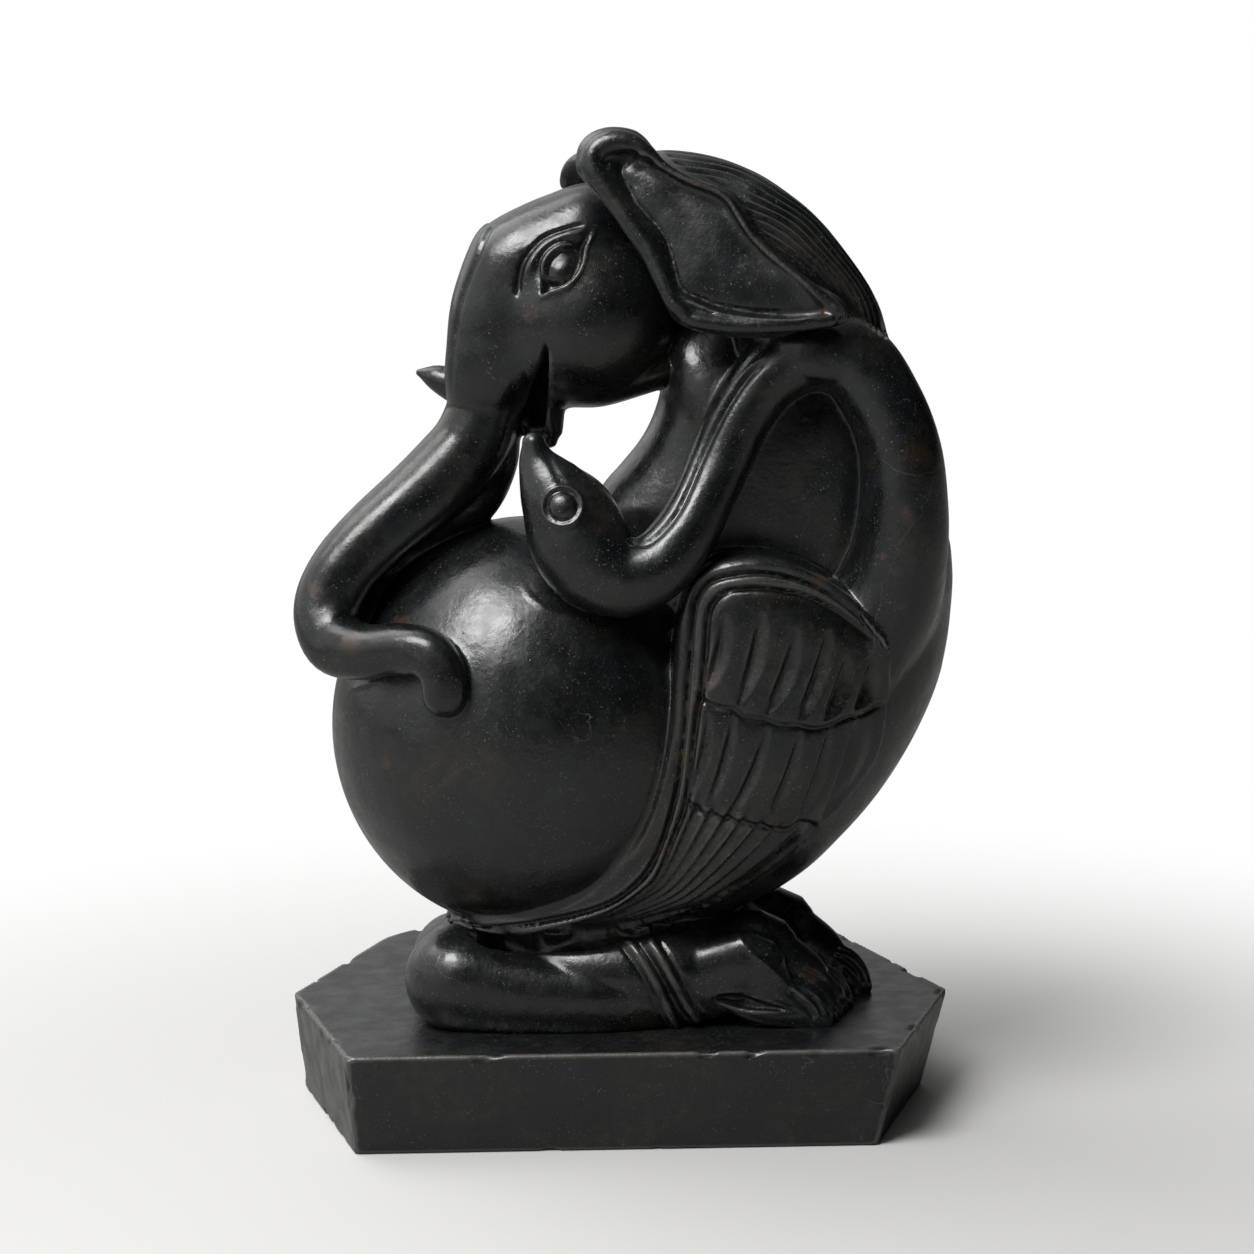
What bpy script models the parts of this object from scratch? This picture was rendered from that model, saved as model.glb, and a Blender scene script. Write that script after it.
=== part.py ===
# Seated Ganesha embracing a swan, carved with its plinth from one block of dark stone.
# Metres, +Z up, front of the plinth at -Y, origin at the middle of the underside.
# The figure is drawn in millimetres on its own height; the plinth has sizes of its own.

import math

import bmesh
import bpy
import numpy as np
from mathutils import Matrix, Vector

PLINTH_LENGTH = 0.203  # point to point, along X
PLINTH_DEPTH = 0.139
PLINTH_HEIGHT = 0.031
PLINTH_BATTER = 0.0055  # how far the underside is drawn in from the top, left and right
PLINTH_BATTER_Y = 0.0030  # the same at the front and back
PLINTH_LEAN = -0.0022  # how far the underside is shifted along X
PLINTH_EDGE = 0.0009  # width of the worn edges
PLINTH_BACK_CORNER = 0.020  # rounding of the two back corners
PLINTH_CORNERS = [(-1.0, -0.06), (-0.83, -1.0), (0.79, -1.0), (1.0, -0.15), (0.66, 1.0), (-0.66, 1.0)]
SINK = 0.003  # how far the figure runs down into the plinth

FIGURE_HEIGHT = 0.271  # plinth top to ear top
FIGURE_BACK = -0.0125  # middle plane of the figure, in Y
DRAWN_HEIGHT = 271.0  # the same height in the drawing's millimetres
MM = FIGURE_HEIGHT / DRAWN_HEIGHT

GRAIN = 1.4  # finest detail of the merged figure, in drawing millimetres
TRIANGLES = 9300  # of the figure, once thinned


def clear_scene():
    for old in list(bpy.data.objects):
        bpy.data.objects.remove(old, do_unlink=True)


def new_collection(name):
    made = bpy.data.collections.new(name)
    bpy.context.scene.collection.children.link(made)
    return made


def smooth_path(rows, closed=False, steps=8):
    """A Catmull-Rom curve through rows of numbers."""
    rows = np.array(rows, float)
    if closed:
        rows = np.vstack([rows[-1], rows, rows[:2]])
    else:
        rows = np.vstack([2 * rows[0] - rows[1], rows, 2 * rows[-1] - rows[-2]])
    t = np.linspace(0, 1, steps, endpoint=False)[:, None]
    spans = []
    for a, b, c, d in zip(rows, rows[1:], rows[2:], rows[3:]):
        bend = (2 * a - 5 * b + 4 * c - d) * t**2 + (3 * b - a - 3 * c + d) * t**3
        spans.append(b + 0.5 * ((c - a) * t + bend))
    if not closed:
        spans.append(rows[-2][None])
    return np.vstack(spans)


def even_path(rows, count, closed=False):
    """The smooth curve through the rows, cut into evenly spaced points."""
    path = smooth_path(rows, closed)
    if closed:
        path = np.vstack([path, path[:1]])
    run = np.concatenate([[0], np.cumsum(np.linalg.norm(np.diff(path[:, :3], axis=0), axis=1))])
    wanted = np.linspace(0, run[-1], count, endpoint=not closed)
    return np.stack([np.interp(wanted, run, column) for column in path.T], axis=1)


def ball(rings, around):
    """A sphere, with the ring and the turn (0 to 1) of each of its vertices."""
    shape = bmesh.new()
    bmesh.ops.create_uvsphere(shape, u_segments=around, v_segments=rings, radius=1.0)
    points = np.array([v.co for v in shape.verts])
    ring = np.rint(np.arccos(np.clip(points[:, 2], -1, 1)) / math.pi * rings).astype(int)
    turn = np.arctan2(points[:, 1], points[:, 0]) / math.tau % 1.0
    return shape, ring, turn


def place(shape, points):
    """Moves the vertices to points in drawing millimetres, and turns the faces outwards."""
    for vertex, point in zip(shape.verts, points):
        vertex.co = point
    bmesh.ops.recalc_face_normals(shape, faces=shape.faces)
    if shape.calc_volume(signed=True) < 0:
        bmesh.ops.reverse_faces(shape, faces=shape.faces)
    return shape


def limb(stations, around=32, gap=2.5, square=2.0):
    """A drawn-out ball: each station is x, y, z, half-width in the side view, half-width in Y."""
    stations = np.array(stations, float)
    length = np.linalg.norm(np.diff(stations[:, :3], axis=0), axis=1).sum()
    path = even_path(stations, max(4, round(length / gap)))
    along = np.gradient(path[:, :3], axis=0)
    along /= np.linalg.norm(along, axis=1)[:, None]
    cap = np.linspace(0, math.pi / 2, 7)[:-1]
    centres, ways, widths = [], [], []
    for end, sign in ((0, -1), (-1, 1)):
        reach = path[end, 3:5].mean()
        rows = path[end, :3] + sign * along[end] * reach * np.cos(cap)[:, None]
        size = np.sin(cap)[:, None] * path[end, 3:5]
        centres.append(rows if sign < 0 else rows[::-1])
        widths.append(size if sign < 0 else size[::-1])
        ways.append(np.repeat(along[end][None], len(cap), axis=0))
    centres = np.vstack([centres[0], path[:, :3], centres[1]])
    widths = np.vstack([widths[0], path[:, 3:5], widths[1]])
    ways = np.vstack([ways[0], along, ways[1]])
    deep = np.array([0, 1, 0]) - ways[:, 1:2] * ways
    deep /= np.linalg.norm(deep, axis=1)[:, None]
    flat = np.cross(deep, ways)
    shape, ring, turn = ball(len(centres) - 1, around)
    c, s = np.cos(turn * math.tau), np.sin(turn * math.tau)
    reach = (np.abs(c) ** square + np.abs(s) ** square) ** (-1 / square)
    points = centres[ring]
    points = points + flat[ring] * (c * reach * widths[ring, 0])[:, None]
    points = points + deep[ring] * (s * reach * widths[ring, 1])[:, None]
    return place(shape, points)


def pillow(outline, centre, middle, half, square=2.0, tilt=(0, 0), around=96, rings=24):
    """A closed outline in the side view, swollen to half in Y about the plane at middle."""
    rim = even_path(outline, around, closed=True)
    shape, ring, turn = ball(rings, around)
    lat = ring / rings * math.pi
    spread = np.abs(np.sin(lat)) ** (2 / square)
    rise = -np.sign(np.cos(lat)) * np.abs(np.cos(lat)) ** (2 / square) * half
    index = np.rint(turn * around).astype(int) % around
    flat = np.array(centre) + (rim[index] - np.array(centre)) * spread[:, None]
    lean = (flat[:, 0] - centre[0]) * tilt[0] + (flat[:, 1] - centre[1]) * tilt[1]
    return place(shape, np.stack([flat[:, 0], middle + rise + lean, flat[:, 1]], axis=1))


def ellipsoid(centre, radii, around=64):
    shape, ring, turn = ball(around // 2, around)
    points = np.array([v.co for v in shape.verts]) * radii + centre
    return place(shape, points)


def mirrored(stations):
    """The same stations on the far side."""
    return [(x, -y, *rest) for x, y, *rest in stations]


# Stations and outlines are in drawing millimetres: X to the right, Z above the plinth's top and
# Y from the figure's middle plane, negative in front.
BELLY = (-28, 0, 87.5)
BELLY_REACH = (60.3, 54, 63.5)
CHEEK = (-12, 0, 213.5)
CHEEK_REACH = (29, 29, 28.5)
HEAD = [
    (-9.3, 251.8), (-22.6, 248.0), (-32.4, 243.8), (-38.6, 240.4), (-42.8, 236.8), (-45.6, 231.8),
    (-48.6, 223.8), (-51.0, 215.0), (-52.3, 204.5), (-53.0, 194.0), (-51.0, 184.0), (-42.4, 180.4),
    (-31.9, 186.3), (-25.9, 195.3), (-21.3, 205.8), (-6.4, 216.2), (5.5, 228.0), (1.1, 245.9),
]
TRUNK = [
    (-33, 0, 206, 17, 17),
    (-37, 0, 196, 14.5, 16.5),
    (-40.3, 0, 187, 11.4, 15.5),
    (-45.2, 0, 174.8, 11.4, 14.5),
    (-52.6, 0, 165.9, 11.4, 14),
    (-61.8, 0, 157.2, 11.1, 13.5),
    (-75.1, -1, 145.6, 10.5, 12.5),
    (-83.9, -3, 136.3, 10.2, 11.5),
    (-88.4, -7, 128.2, 10.2, 11),
    (-88.9, -14, 122.1, 9.8, 10.5),
    (-85.5, -24, 117.8, 9.2, 9.5),
    (-77.1, -34, 117.8, 7.9, 8.5),
    (-66.8, -41, 120.2, 7.0, 8),
    (-59.0, -45, 119.4, 7.0, 8),
    (-54.8, -47, 114.0, 7.0, 8),
    (-54.2, -48, 108.1, 6.7, 7.5),
]
TRUNK_WEB = [
    (-37.3, 2, 177.3, 7.2, 9),
    (-40.1, 2, 167.6, 8.7, 9),
    (-46.2, 2, 157.6, 9.6, 9),
    (-56.1, 2, 150.1, 9.0, 9),
    (-66.7, 2, 141.0, 8.4, 8),
    (-75.9, 0, 131.9, 6.6, 7),
]
JAW = [
    (8.0, 0, 196.5, 7.0, 16),
    (-6.4, 0, 192.6, 7.2, 18),
    (-15.0, 0, 191.0, 6.0, 15),
    (-21.0, 0, 190.5, 5.0, 12),
]
LIP = [
    (-21.5, 1, 190.8, 5.8, 10),
    (-21.4, 1, 183.2, 4.4, 8),
    (-20.9, 1, 177.3, 3.2, 6),
    (-21.2, 1, 175.4, 2.2, 4),
]
MOUTH_FLOOR = [(-28, 5, 192, 8, 9), (-26, 5, 180.5, 5.5, 8)]
TUSK = [
    (-44.0, 13, 187.0, 6.0, 6.0),
    (-51.1, 14, 190.1, 5.1, 5.1),
    (-56.5, 15, 192.2, 3.6, 3.6),
    (-60.5, 16, 193.3, 1.2, 1.2),
]
SWAN_HEAD = [
    (-27.5, -35, 179.6, 3.4, 3.6),
    (-26.4, -35, 174.5, 5.8, 5.4),
    (-22.6, -36, 167.2, 10.0, 9),
    (-17.6, -37, 158.9, 13.8, 11.5),
    (-11.8, -39, 147.0, 14.6, 12.5),
    (-2.0, -41, 140.8, 12.2, 11),
]
SWAN_NECK = [
    (7.7, -41, 143.5, 10.5, 10.5),
    (15.9, -40, 151.4, 9.6, 10),
    (22.5, -37, 162.1, 9.0, 9.5),
    (28.2, -34, 173.3, 9.3, 9.5),
    (34.4, -32, 186.2, 9.6, 9.8),
    (43.3, -30, 197.6, 10.5, 10.5),
]
SWAN_BACK = [
    (55.2, -28, 204.0, 11.7, 12),
    (67.4, -27, 201.5, 12.0, 13),
    (76.4, -26, 188.4, 11.8, 14),
    (81.4, -26, 174.5, 12.1, 15),
    (82.7, -26, 159.7, 12.9, 16),
    (82.0, -24, 144.9, 14.4, 18),
    (78.0, -20, 129.8, 17.0, 20),
    (68.0, -16, 110.0, 18.0, 22),
    (58.0, -12, 92.0, 16.0, 20),
]
SPINE_HALF = 38  # half-width of the broad back behind the necks
WING = [
    (40.8, -31, 130.9, 21.5, 13),
    (45.2, -32, 122.6, 29.3, 14),
    (46.1, -33, 111.6, 31.2, 14),
    (43.9, -33, 95.5, 31.0, 14),
    (37.1, -33, 78.2, 28.0, 14),
    (24.3, -31, 58.5, 20.6, 13),
    (7.1, -28, 44.9, 13.3, 12),
    (-17.4, -24, 31.6, 8.1, 10),
    (-37.8, -20, 27.3, 5.0, 8),
    (-52.0, -17, 29.0, 2.6, 5),
]
LEG = [
    (-50.0, -20, 12.5, 16.0, 18),
    (-31.9, -20, 9.5, 14.6, 19),
    (-7.7, -20, 8.0, 13.4, 19),
    (16.7, -19, 9.4, 11.6, 17),
]
FAR_LEG_Y = 12  # middle of the far leg, which lies a little lower and is slimmer than the near one
FAR_LEG_DROP = 3.5
FAR_LEG_SLIMMER = (1.5, 3.0)
FOOT_INNER = [
    (26.0, -18, 14.0, 12.0, 9),
    (39.6, -18, 20.5, 11.6, 8),
    (44.2, -18, 16.3, 11.0, 8),
    (51.9, -18, 11.0, 9.9, 8),
    (56.5, -18, 7.0, 8.8, 8),
    (61.0, -18, 4.0, 7.0, 7),
]
FOOT_OUTER = [
    (18.0, -29, 11.0, 11.0, 7),
    (26.0, -29, 14.0, 12.0, 7),
    (36.8, -29, 18.2, 10.5, 7),
    (40.0, -29, 14.5, 9.5, 7),
    (44.5, -29, 8.4, 7.7, 7),
    (52.1, -29, 2.5, 5.7, 7),
    (57.0, -29, 0.0, 4.0, 6),
]
LITTLE_TOE = [
    (49.0, -33, 8.3, 5.0, 2.7),
    (54.5, -33, 5.5, 5.0, 2.7),
    (58.0, -33, 1.5, 4.5, 2.7),
    (59.5, -33, -1.0, 3.5, 2.5),
]
BIG_TOE = [
    (55.5, -14.8, 10.5, 5.0, 3.0),
    (61.5, -14.8, 8.5, 5.0, 3.0),
    (65.5, -14.8, 4.0, 4.5, 3.0),
    (67.3, -14.8, 0.5, 3.5, 2.7),
]
TOES = 5
FAR_FOOT = (7.5, -14.0, 1.0)  # how far the far foot is set on from the mirrored near one
HAIR = [
    (3.0, 259.4), (10.8, 261.2), (17.3, 261.2), (26.2, 259.8), (35.1, 257.0), (44.1, 252.6),
    (53.1, 246.3), (59.1, 240.9), (65.1, 234.0), (71.2, 225.9), (75.6, 218.4), (78.4, 211.5),
    (79.5, 203.5), (71.5, 200.6), (41.5, 203.8), (20.5, 213.0), (5.5, 231.0), (-1.9, 248.8),
]
HEAD_MIDDLE, HEAD_HALF = (-25, 215), 20
HAIR_MIDDLE, HAIR_HALF = (38, 228), 34
EAR = [
    (-13.8, 257.0), (-14.4, 261.4), (-13.2, 265.4), (-10.3, 268.3), (-6.3, 269.9), (-2.2, 270.2),
    (2.7, 269.3), (5.9, 267.1), (8.6, 263.9), (15.2, 257.3), (25.6, 252.6), (32.5, 246.6),
    (39.3, 236.6), (50.1, 228.7), (61.2, 222.2), (63.6, 217.5), (61.3, 214.3), (50.2, 212.6),
    (41.5, 210.7), (26.9, 211.4), (15.3, 214.4), (10.6, 220.2), (5.1, 231.8), (-0.7, 242.0),
    (-7.9, 250.1),
]
EAR_MIDDLE = (16, 236)
EAR_OUT = 31  # how far the ear's middle stands from the middle plane
EAR_HALF = 5.5
EAR_TILT = (0.05, -0.3)
FAR_EAR_DROP = (-3, -10)  # the far ear's top loop sits further forward and lower
TORSO = [
    (15.1, 208.5), (12.1, 190.5), (9.5, 181.4), (5.6, 173.9), (-0.5, 166.3), (-5.6, 160.3),
    (-11.0, 149.6), (-6.5, 112.6), (42.2, 93.4), (78.6, 124.1), (85.7, 161.0), (80.8, 185.4),
    (71.5, 203.6), (41.4, 215.8),
]
TORSO_MIDDLE, TORSO_HALF = (40, 160), 25
RUMP = [
    (-52.4, 24.6), (-37.5, 20.0), (-19.0, 18.0), (-0.5, 19.5), (18.0, 24.0), (39.0, 31.5),
    (55.5, 41.5), (67.5, 53.0), (77.8, 65.0), (86.0, 77.5), (92.2, 89.5), (96.6, 101.0),
    (99.2, 112.4), (100.4, 124.4), (100.6, 136.2), (97.0, 148.6), (78.3, 145.7), (48.0, 136.8),
    (17.7, 127.8), (-18.7, 112.8), (-49.3, 75.7),
]
RUMP_MIDDLE, RUMP_HALF = (30, 80), 44
FACE_BLEND = ((-17, 0, 214), 31, 14)  # middle and radius of the ball in which the head runs together, rounds
WING_RIM = [
    (-54.3, 25.8), (-37.4, 26.5), (-23.6, 29.5), (-11.3, 34.4), (-1.1, 42.9), (6.3, 53.5), (11.1, 67.1),
    (14.2, 82.7), (15.7, 99.9), (17.1, 117.0), (20.7, 129.3), (27.4, 136.4), (37.4, 139.0), (48.0, 138.0),
    (60.2, 133.0), (71.9, 124.2), (79.9, 114.1),
]
WING_INNER = [
    (-49.8, 21.3), (-34.4, 21.7), (-19.0, 25.6), (-5.1, 33.0), (5.6, 44.0), (13.3, 58.5), (17.9, 74.8),
    (20.3, 93.6), (21.7, 110.8), (24.7, 122.8), (31.4, 128.6), (42.0, 129.7), (54.2, 126.8), (66.4, 120.2),
    (78.2, 110.7),
]
WING_BACK = [
    (82.2, 103.8), (81.8, 91.3), (78.6, 75.6), (70.2, 63.1), (61.0, 53.7), (51.9, 44.3), (39.6, 34.9),
]
WING_LOW = [(25.7, 26.5), (8.8, 20.4), (-6.7, 16.8), (-22.1, 16.7), (-37.5, 18.5), (-51.3, 22.6)]
PLUME_TOP = [(22.0, 117.0), (42.0, 120.0), (60.0, 115.5), (80.0, 104.0)]
PLUME_MIDDLE = [(23.0, 98.3), (34.6, 89.7), (53.0, 85.4), (72.3, 89.2), (80.8, 93.5)]
PLUME_LOW = [(19.8, 58.4), (34.8, 55.0), (54.9, 51.6), (61.6, 54.7)]
WING_RISE = 1.4  # how far the wing stands out from the body
RIM_RISE = 2.4  # and its rolled rim from the feathers
ROW_STEP = 0.9  # from each row of feathers down to the next
PLUMES = 6  # cuts in each of the two upper rows
LONG_PLUMES = 5


def between(upper, lower, count, starts, ends):
    """Lines from one path down to another, spread over the given shares of each."""
    upper, lower = even_path(upper, 101), even_path(lower, 101)
    lines = []
    for k in range(count):
        share = k / (count - 1)
        top = upper[round(100 * (starts[0] + (starts[1] - starts[0]) * share))]
        end = lower[round(100 * (ends[0] + (ends[1] - ends[0]) * share))]
        knee = (top + end) / 2 + np.array([(top - end)[1], (end - top)[0]]) * 0.03
        lines.append(np.array([top, knee, end]))
    return lines


def plumes():
    """The cuts between the wing's feathers: two rows, then the long ones down to the tip."""
    lines = between(PLUME_TOP, PLUME_MIDDLE, PLUMES, (0.14, 0.98), (0.05, 0.85))
    lines += between(PLUME_MIDDLE, PLUME_LOW, PLUMES, (0.10, 0.875), (0.04, 0.965))
    front = even_path(WING_INNER[5::-1], 12)
    rear = even_path(WING_BACK[4:] + WING_LOW, 12)
    for share in np.linspace(0.12, 0.88, LONG_PLUMES):
        lines.append(front * (1 - share) + rear * share)
    return lines


def moved(stations, dx=0.0, dy=0.0, dz=0.0):
    return [(x + dx, y + dy, z + dz, *rest) for x, y, z, *rest in stations]


def toes():
    """The toes' stations, from the little one to the big one."""
    little, big = np.array(LITTLE_TOE), np.array(BIG_TOE)
    return [little + (big - little) * share for share in np.linspace(0, 1, TOES)]


def ear(side):
    """The ear as a tilted leaf: -1 is the near side."""
    outline = np.array(EAR)
    if side > 0:
        outline = outline + np.array(FAR_EAR_DROP) * ease((outline[:, 1:] - EAR_MIDDLE[1]) / 25)
    tilt = [side * slope for slope in EAR_TILT]
    return pillow(outline, EAR_MIDDLE, side * EAR_OUT, EAR_HALF, square=3.0, tilt=tilt)


def figure_forms():
    """The masses of the figure, each a closed form in drawing millimetres."""
    back = [(x, 0, z, flat, SPINE_HALF) for x, _, z, flat, _ in SWAN_BACK]
    thinner, narrower = FAR_LEG_SLIMMER
    far_leg = [
        (x, FAR_LEG_Y, z - FAR_LEG_DROP, flat - thinner, deep - narrower) for x, _, z, flat, deep in LEG
    ]
    forms = [
        ellipsoid(BELLY, BELLY_REACH),
        ellipsoid(CHEEK, CHEEK_REACH),
        pillow(RUMP, RUMP_MIDDLE, 0, RUMP_HALF, square=2.2),
        pillow(TORSO, TORSO_MIDDLE, 0, TORSO_HALF, square=2.6),
        pillow(HEAD, HEAD_MIDDLE, 0, HEAD_HALF, square=3.0),
        pillow(HAIR, HAIR_MIDDLE, 0, HAIR_HALF, square=2.4),
        limb(TRUNK, square=2.6),
        limb(TRUNK_WEB),
        limb(JAW),
        limb(LIP),
        limb(MOUTH_FLOOR),
        limb(TUSK),
        limb(SWAN_HEAD + SWAN_NECK + SWAN_BACK),
        limb(mirrored(SWAN_NECK + SWAN_BACK)),
        limb(back, square=3.0),
        limb(WING, square=2.6),
        limb(mirrored(WING), square=2.6),
        limb(LEG, square=2.6),
        limb(far_leg, square=2.6),
        ear(-1),
        ear(1),
    ]
    for stations in (FOOT_INNER, FOOT_OUTER, *toes()):
        forms.append(limb(stations, square=2.4))
        forms.append(limb(moved(mirrored(stations), *FAR_FOOT), square=2.4))
    return forms


# The relief is drawn on the middle plane as it shows from one point in front of the figure.
VIEWPOINT = (-59.0, -1154.0, 362.0)
EYE_FOLD = [
    (-30.8, 217.8), (-31.1, 223.8), (-29.5, 228.8), (-26.6, 233.3), (-22.7, 236.5), (-18.2, 238.3),
    (-9.9, 240.0),
]
EYE_LID = [(-27.4, 219.5), (-26.8, 225.2), (-24.4, 230.2), (-20.6, 233.6), (-16.5, 235.2), (-11.0, 236.0)]
EYE_LOWER = [
    (-25.1, 217.2), (-21.3, 219.2), (-17.4, 221.6), (-13.8, 225.2), (-11.4, 228.7), (-10.2, 232.3),
    (-9.0, 236.3),
]
EYEBALL = (-18.0, 228.2)
EYEBALL_HALVES = (6.2, 4.4)  # long one up and to the right, short one across it
MOUTH = [(-20.7, 206.7), (-21.6, 201.3), (-22.6, 194.7), (-22.9, 187.7), (-24.4, 180.2)]
EAR_INNER = [
    (5.5, 262.9), (0.2, 260.6), (-1.6, 256.2), (-0.4, 250.3), (3.7, 244.4), (9.1, 237.5), (13.0, 228.6),
    (15.1, 221.1), (16.9, 217.2), (23.4, 215.1), (30.9, 213.5), (41.4, 213.1), (53.4, 213.1), (61.0, 212.9),
]
SWAN_EYE = (-17.9, 154.6)
SWAN_EYE_RADIUS = 4.4
ANKLET = [
    [(3.8, 13.7), (7.2, 6.6), (11.3, -0.9), (15.9, -8.4)],
    [(10.9, 13.6), (14.3, 6.5), (19.0, -1.0), (24.3, -6.9)],
]
LOCK = 5.6  # spacing of the hair's locks
LOCK_DEPTH = 2.0
HAIR_FRONT, HAIR_LOW = 8, 204  # the locks start behind this X and end above this Z
EAR_HOLLOW = 3.0  # how far the ear's dish sinks in beside its inner fold


def to_path(spots, path):
    """For each spot: distance to the path, sign of its side (left of the way is +), share along it."""
    best = np.full(len(spots), np.inf)
    side = np.zeros(len(spots))
    share = np.zeros(len(spots))
    count = len(path) - 1
    for i, (a, b) in enumerate(zip(path, path[1:])):
        way = b - a
        t = np.clip(((spots - a) @ way) / (way @ way), 0, 1)
        off = spots - a - t[:, None] * way
        gap = np.hypot(*off.T)
        closer = gap < best
        best = np.where(closer, gap, best)
        side = np.where(closer, np.sign(way[0] * off[:, 1] - way[1] * off[:, 0]), side)
        share = np.where(closer, (i + t) / count, share)
    return best, side, share


def inside(spots, outline):
    """Which spots lie within a closed outline."""
    within = np.zeros(len(spots), bool)
    x, z = spots.T
    for (ax, az), (bx, bz) in zip(outline, np.roll(outline, -1, axis=0)):
        crosses = (az > z) != (bz > z)
        with np.errstate(divide="ignore", invalid="ignore"):
            within ^= crosses & (x < (bx - ax) * (z - az) / (bz - az) + ax)
    return within


def ease(value):
    value = np.clip(value, 0, 1)
    return value * value * (3 - 2 * value)


def dome(radius, height):
    """A round rise out to radius 1."""
    return height * np.sqrt(np.clip(1 - radius**2, 0, 1))


def ring(radius, middle, width, height):
    """A rounded ring round the radius at middle."""
    return height * np.exp(-(((radius - middle) / width) ** 2))


class Stone:
    """The merged figure, carved on both sides by moving its points along their normals."""

    def __init__(self, mesh):
        count = len(mesh.vertices)
        self.mesh = mesh
        self.points = np.empty(count * 3)
        mesh.vertices.foreach_get("co", self.points)
        self.points = self.points.reshape(-1, 3)
        self.normals = np.array([v.vector for v in mesh.vertex_normals])
        self.raise_by = np.zeros(count)

    def face(self, side):
        """Picks the side to carve: -1 is the front, 1 the back."""
        x, y, z = self.points.T * np.array([[1], [-side], [1]])
        reach = -VIEWPOINT[1] / (y - VIEWPOINT[1])
        self.drawn = np.stack([
            VIEWPOINT[0] + (x - VIEWPOINT[0]) * reach,
            VIEWPOINT[2] + (z - VIEWPOINT[2]) * reach,
        ], axis=1)
        self.depth = y
        self.facing = (y < 0) & (self.normals[:, 1] * -side < 0.25)

    def near(self, path, margin):
        low, high = np.min(path, axis=0) - margin, np.max(path, axis=0) + margin
        inner = ((self.drawn > low) & (self.drawn < high)).all(axis=1)
        return np.flatnonzero(self.facing & inner)

    def line(self, rows, width, height, taper=0.12):
        """A rounded line along the path: a groove where height is negative, else a ridge."""
        path = smooth_path(rows, steps=5)
        picked = self.near(path, width * 3)
        gap, _, share = to_path(self.drawn[picked], path)
        ends = ease(np.minimum(share, 1 - share) / taper) if taper else 1.0
        self.raise_by[picked] += height * np.exp(-((gap / width) ** 2)) * ends

    def finish(self):
        self.points += self.normals * self.raise_by[:, None]
        self.mesh.vertices.foreach_set("co", self.points.ravel())
        self.mesh.update()


def carve_eye(stone):
    stone.line(EYE_FOLD, width=1.3, height=-1.5)
    stone.line(EYE_LID, width=1.5, height=0.9)
    stone.line(EYE_LOWER, width=1.2, height=-0.9)
    long, short = EYEBALL_HALVES
    picked = stone.near([EYEBALL], 2 * long)
    x, z = (stone.drawn[picked] - EYEBALL).T
    radius = np.hypot((x + z) / math.sqrt(2) / long, (z - x) / math.sqrt(2) / short)
    stone.raise_by[picked] += dome(radius, 1.6) - ring(radius, 1.15, 0.2, 1.2)


def carve_head(stone):
    stone.line(MOUTH, width=1.8, height=-4.0)
    stone.line(EAR_INNER, width=2.0, height=-3.2, taper=0.04)
    dish = smooth_path(EAR, closed=True)
    picked = stone.near(dish, 2)
    picked = picked[inside(stone.drawn[picked], dish)]
    gap, side, _ = to_path(stone.drawn[picked], smooth_path(EAR_INNER))
    rim, _, _ = to_path(stone.drawn[picked], np.vstack([dish, dish[:1]]))
    stone.raise_by[picked] -= np.where(side > 0, EAR_HOLLOW * np.exp(-gap / 14) * ease(rim / 6), 0)


def carve_hair(stone):
    crown = even_path(HAIR[:13], 60)
    picked = stone.near(crown, 3)
    x = stone.drawn[picked, 0]
    leaf = smooth_path(EAR, closed=True)
    gap, side, share = to_path(stone.drawn[picked], crown)
    free = ~inside(stone.drawn[picked], leaf) & (x > HAIR_FRONT) & (stone.points[picked, 2] > HAIR_LOW)
    over, _, _ = to_path(stone.drawn[picked], np.vstack([leaf, leaf[:1]]))
    run = gap * (1 + 1.6 * ease((share - 0.35) / 0.5)) + np.abs(stone.depth[picked]) * 0.9
    wave = np.abs(np.sin(run / LOCK * math.pi))
    stone.raise_by[picked] -= np.where(free, LOCK_DEPTH * (1 - wave) ** 2 * ease(over / 2), 0)


def carve_wing(stone):
    outline = smooth_path(WING_RIM + WING_BACK + WING_LOW, closed=True)
    picked = stone.near(outline, 4)
    spots = stone.drawn[picked]
    within = inside(spots, outline)
    rim, _, _ = to_path(spots, smooth_path(WING_RIM))
    inner, side, _ = to_path(spots, smooth_path(WING_INNER))
    edge, _, _ = to_path(spots, np.vstack([outline, outline[:1]]))
    field = within & (side < 0)
    band = within & (side >= 0)
    swell = np.where(band, RIM_RISE * np.sqrt(ease(rim / 2.5) * ease(inner / 2.5)), 0)
    swell += np.where(within, WING_RISE * ease(edge / 1.2), 0)
    for row in (PLUME_MIDDLE, PLUME_LOW):
        gap, below, _ = to_path(spots, smooth_path(row))
        swell -= np.where(field & (below < 0), ROW_STEP * ease(gap / 0.8) * np.exp(-gap / 12), 0)
    stone.raise_by[picked] += swell
    stone.line(WING_INNER, width=1.1, height=-1.4)
    for row in (PLUME_MIDDLE, PLUME_LOW):
        stone.line(row, width=1.0, height=-1.0, taper=0.03)
    for cut in plumes():
        stone.line(cut, width=1.3, height=-1.6, taper=0.08)


def carve_swan(stone):
    picked = stone.near([SWAN_EYE], 3 * SWAN_EYE_RADIUS)
    radius = np.hypot(*(stone.drawn[picked] - SWAN_EYE).T) / SWAN_EYE_RADIUS
    stone.raise_by[picked] += dome(radius, 1.5) - ring(radius, 1.18, 0.18, 1.1)
    stone.raise_by[picked] += ring(radius, 1.45, 0.16, 0.6)


def carve_feet(stone):
    for band in ANKLET:
        stone.line(band, width=1.6, height=1.3, taper=0)


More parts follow.
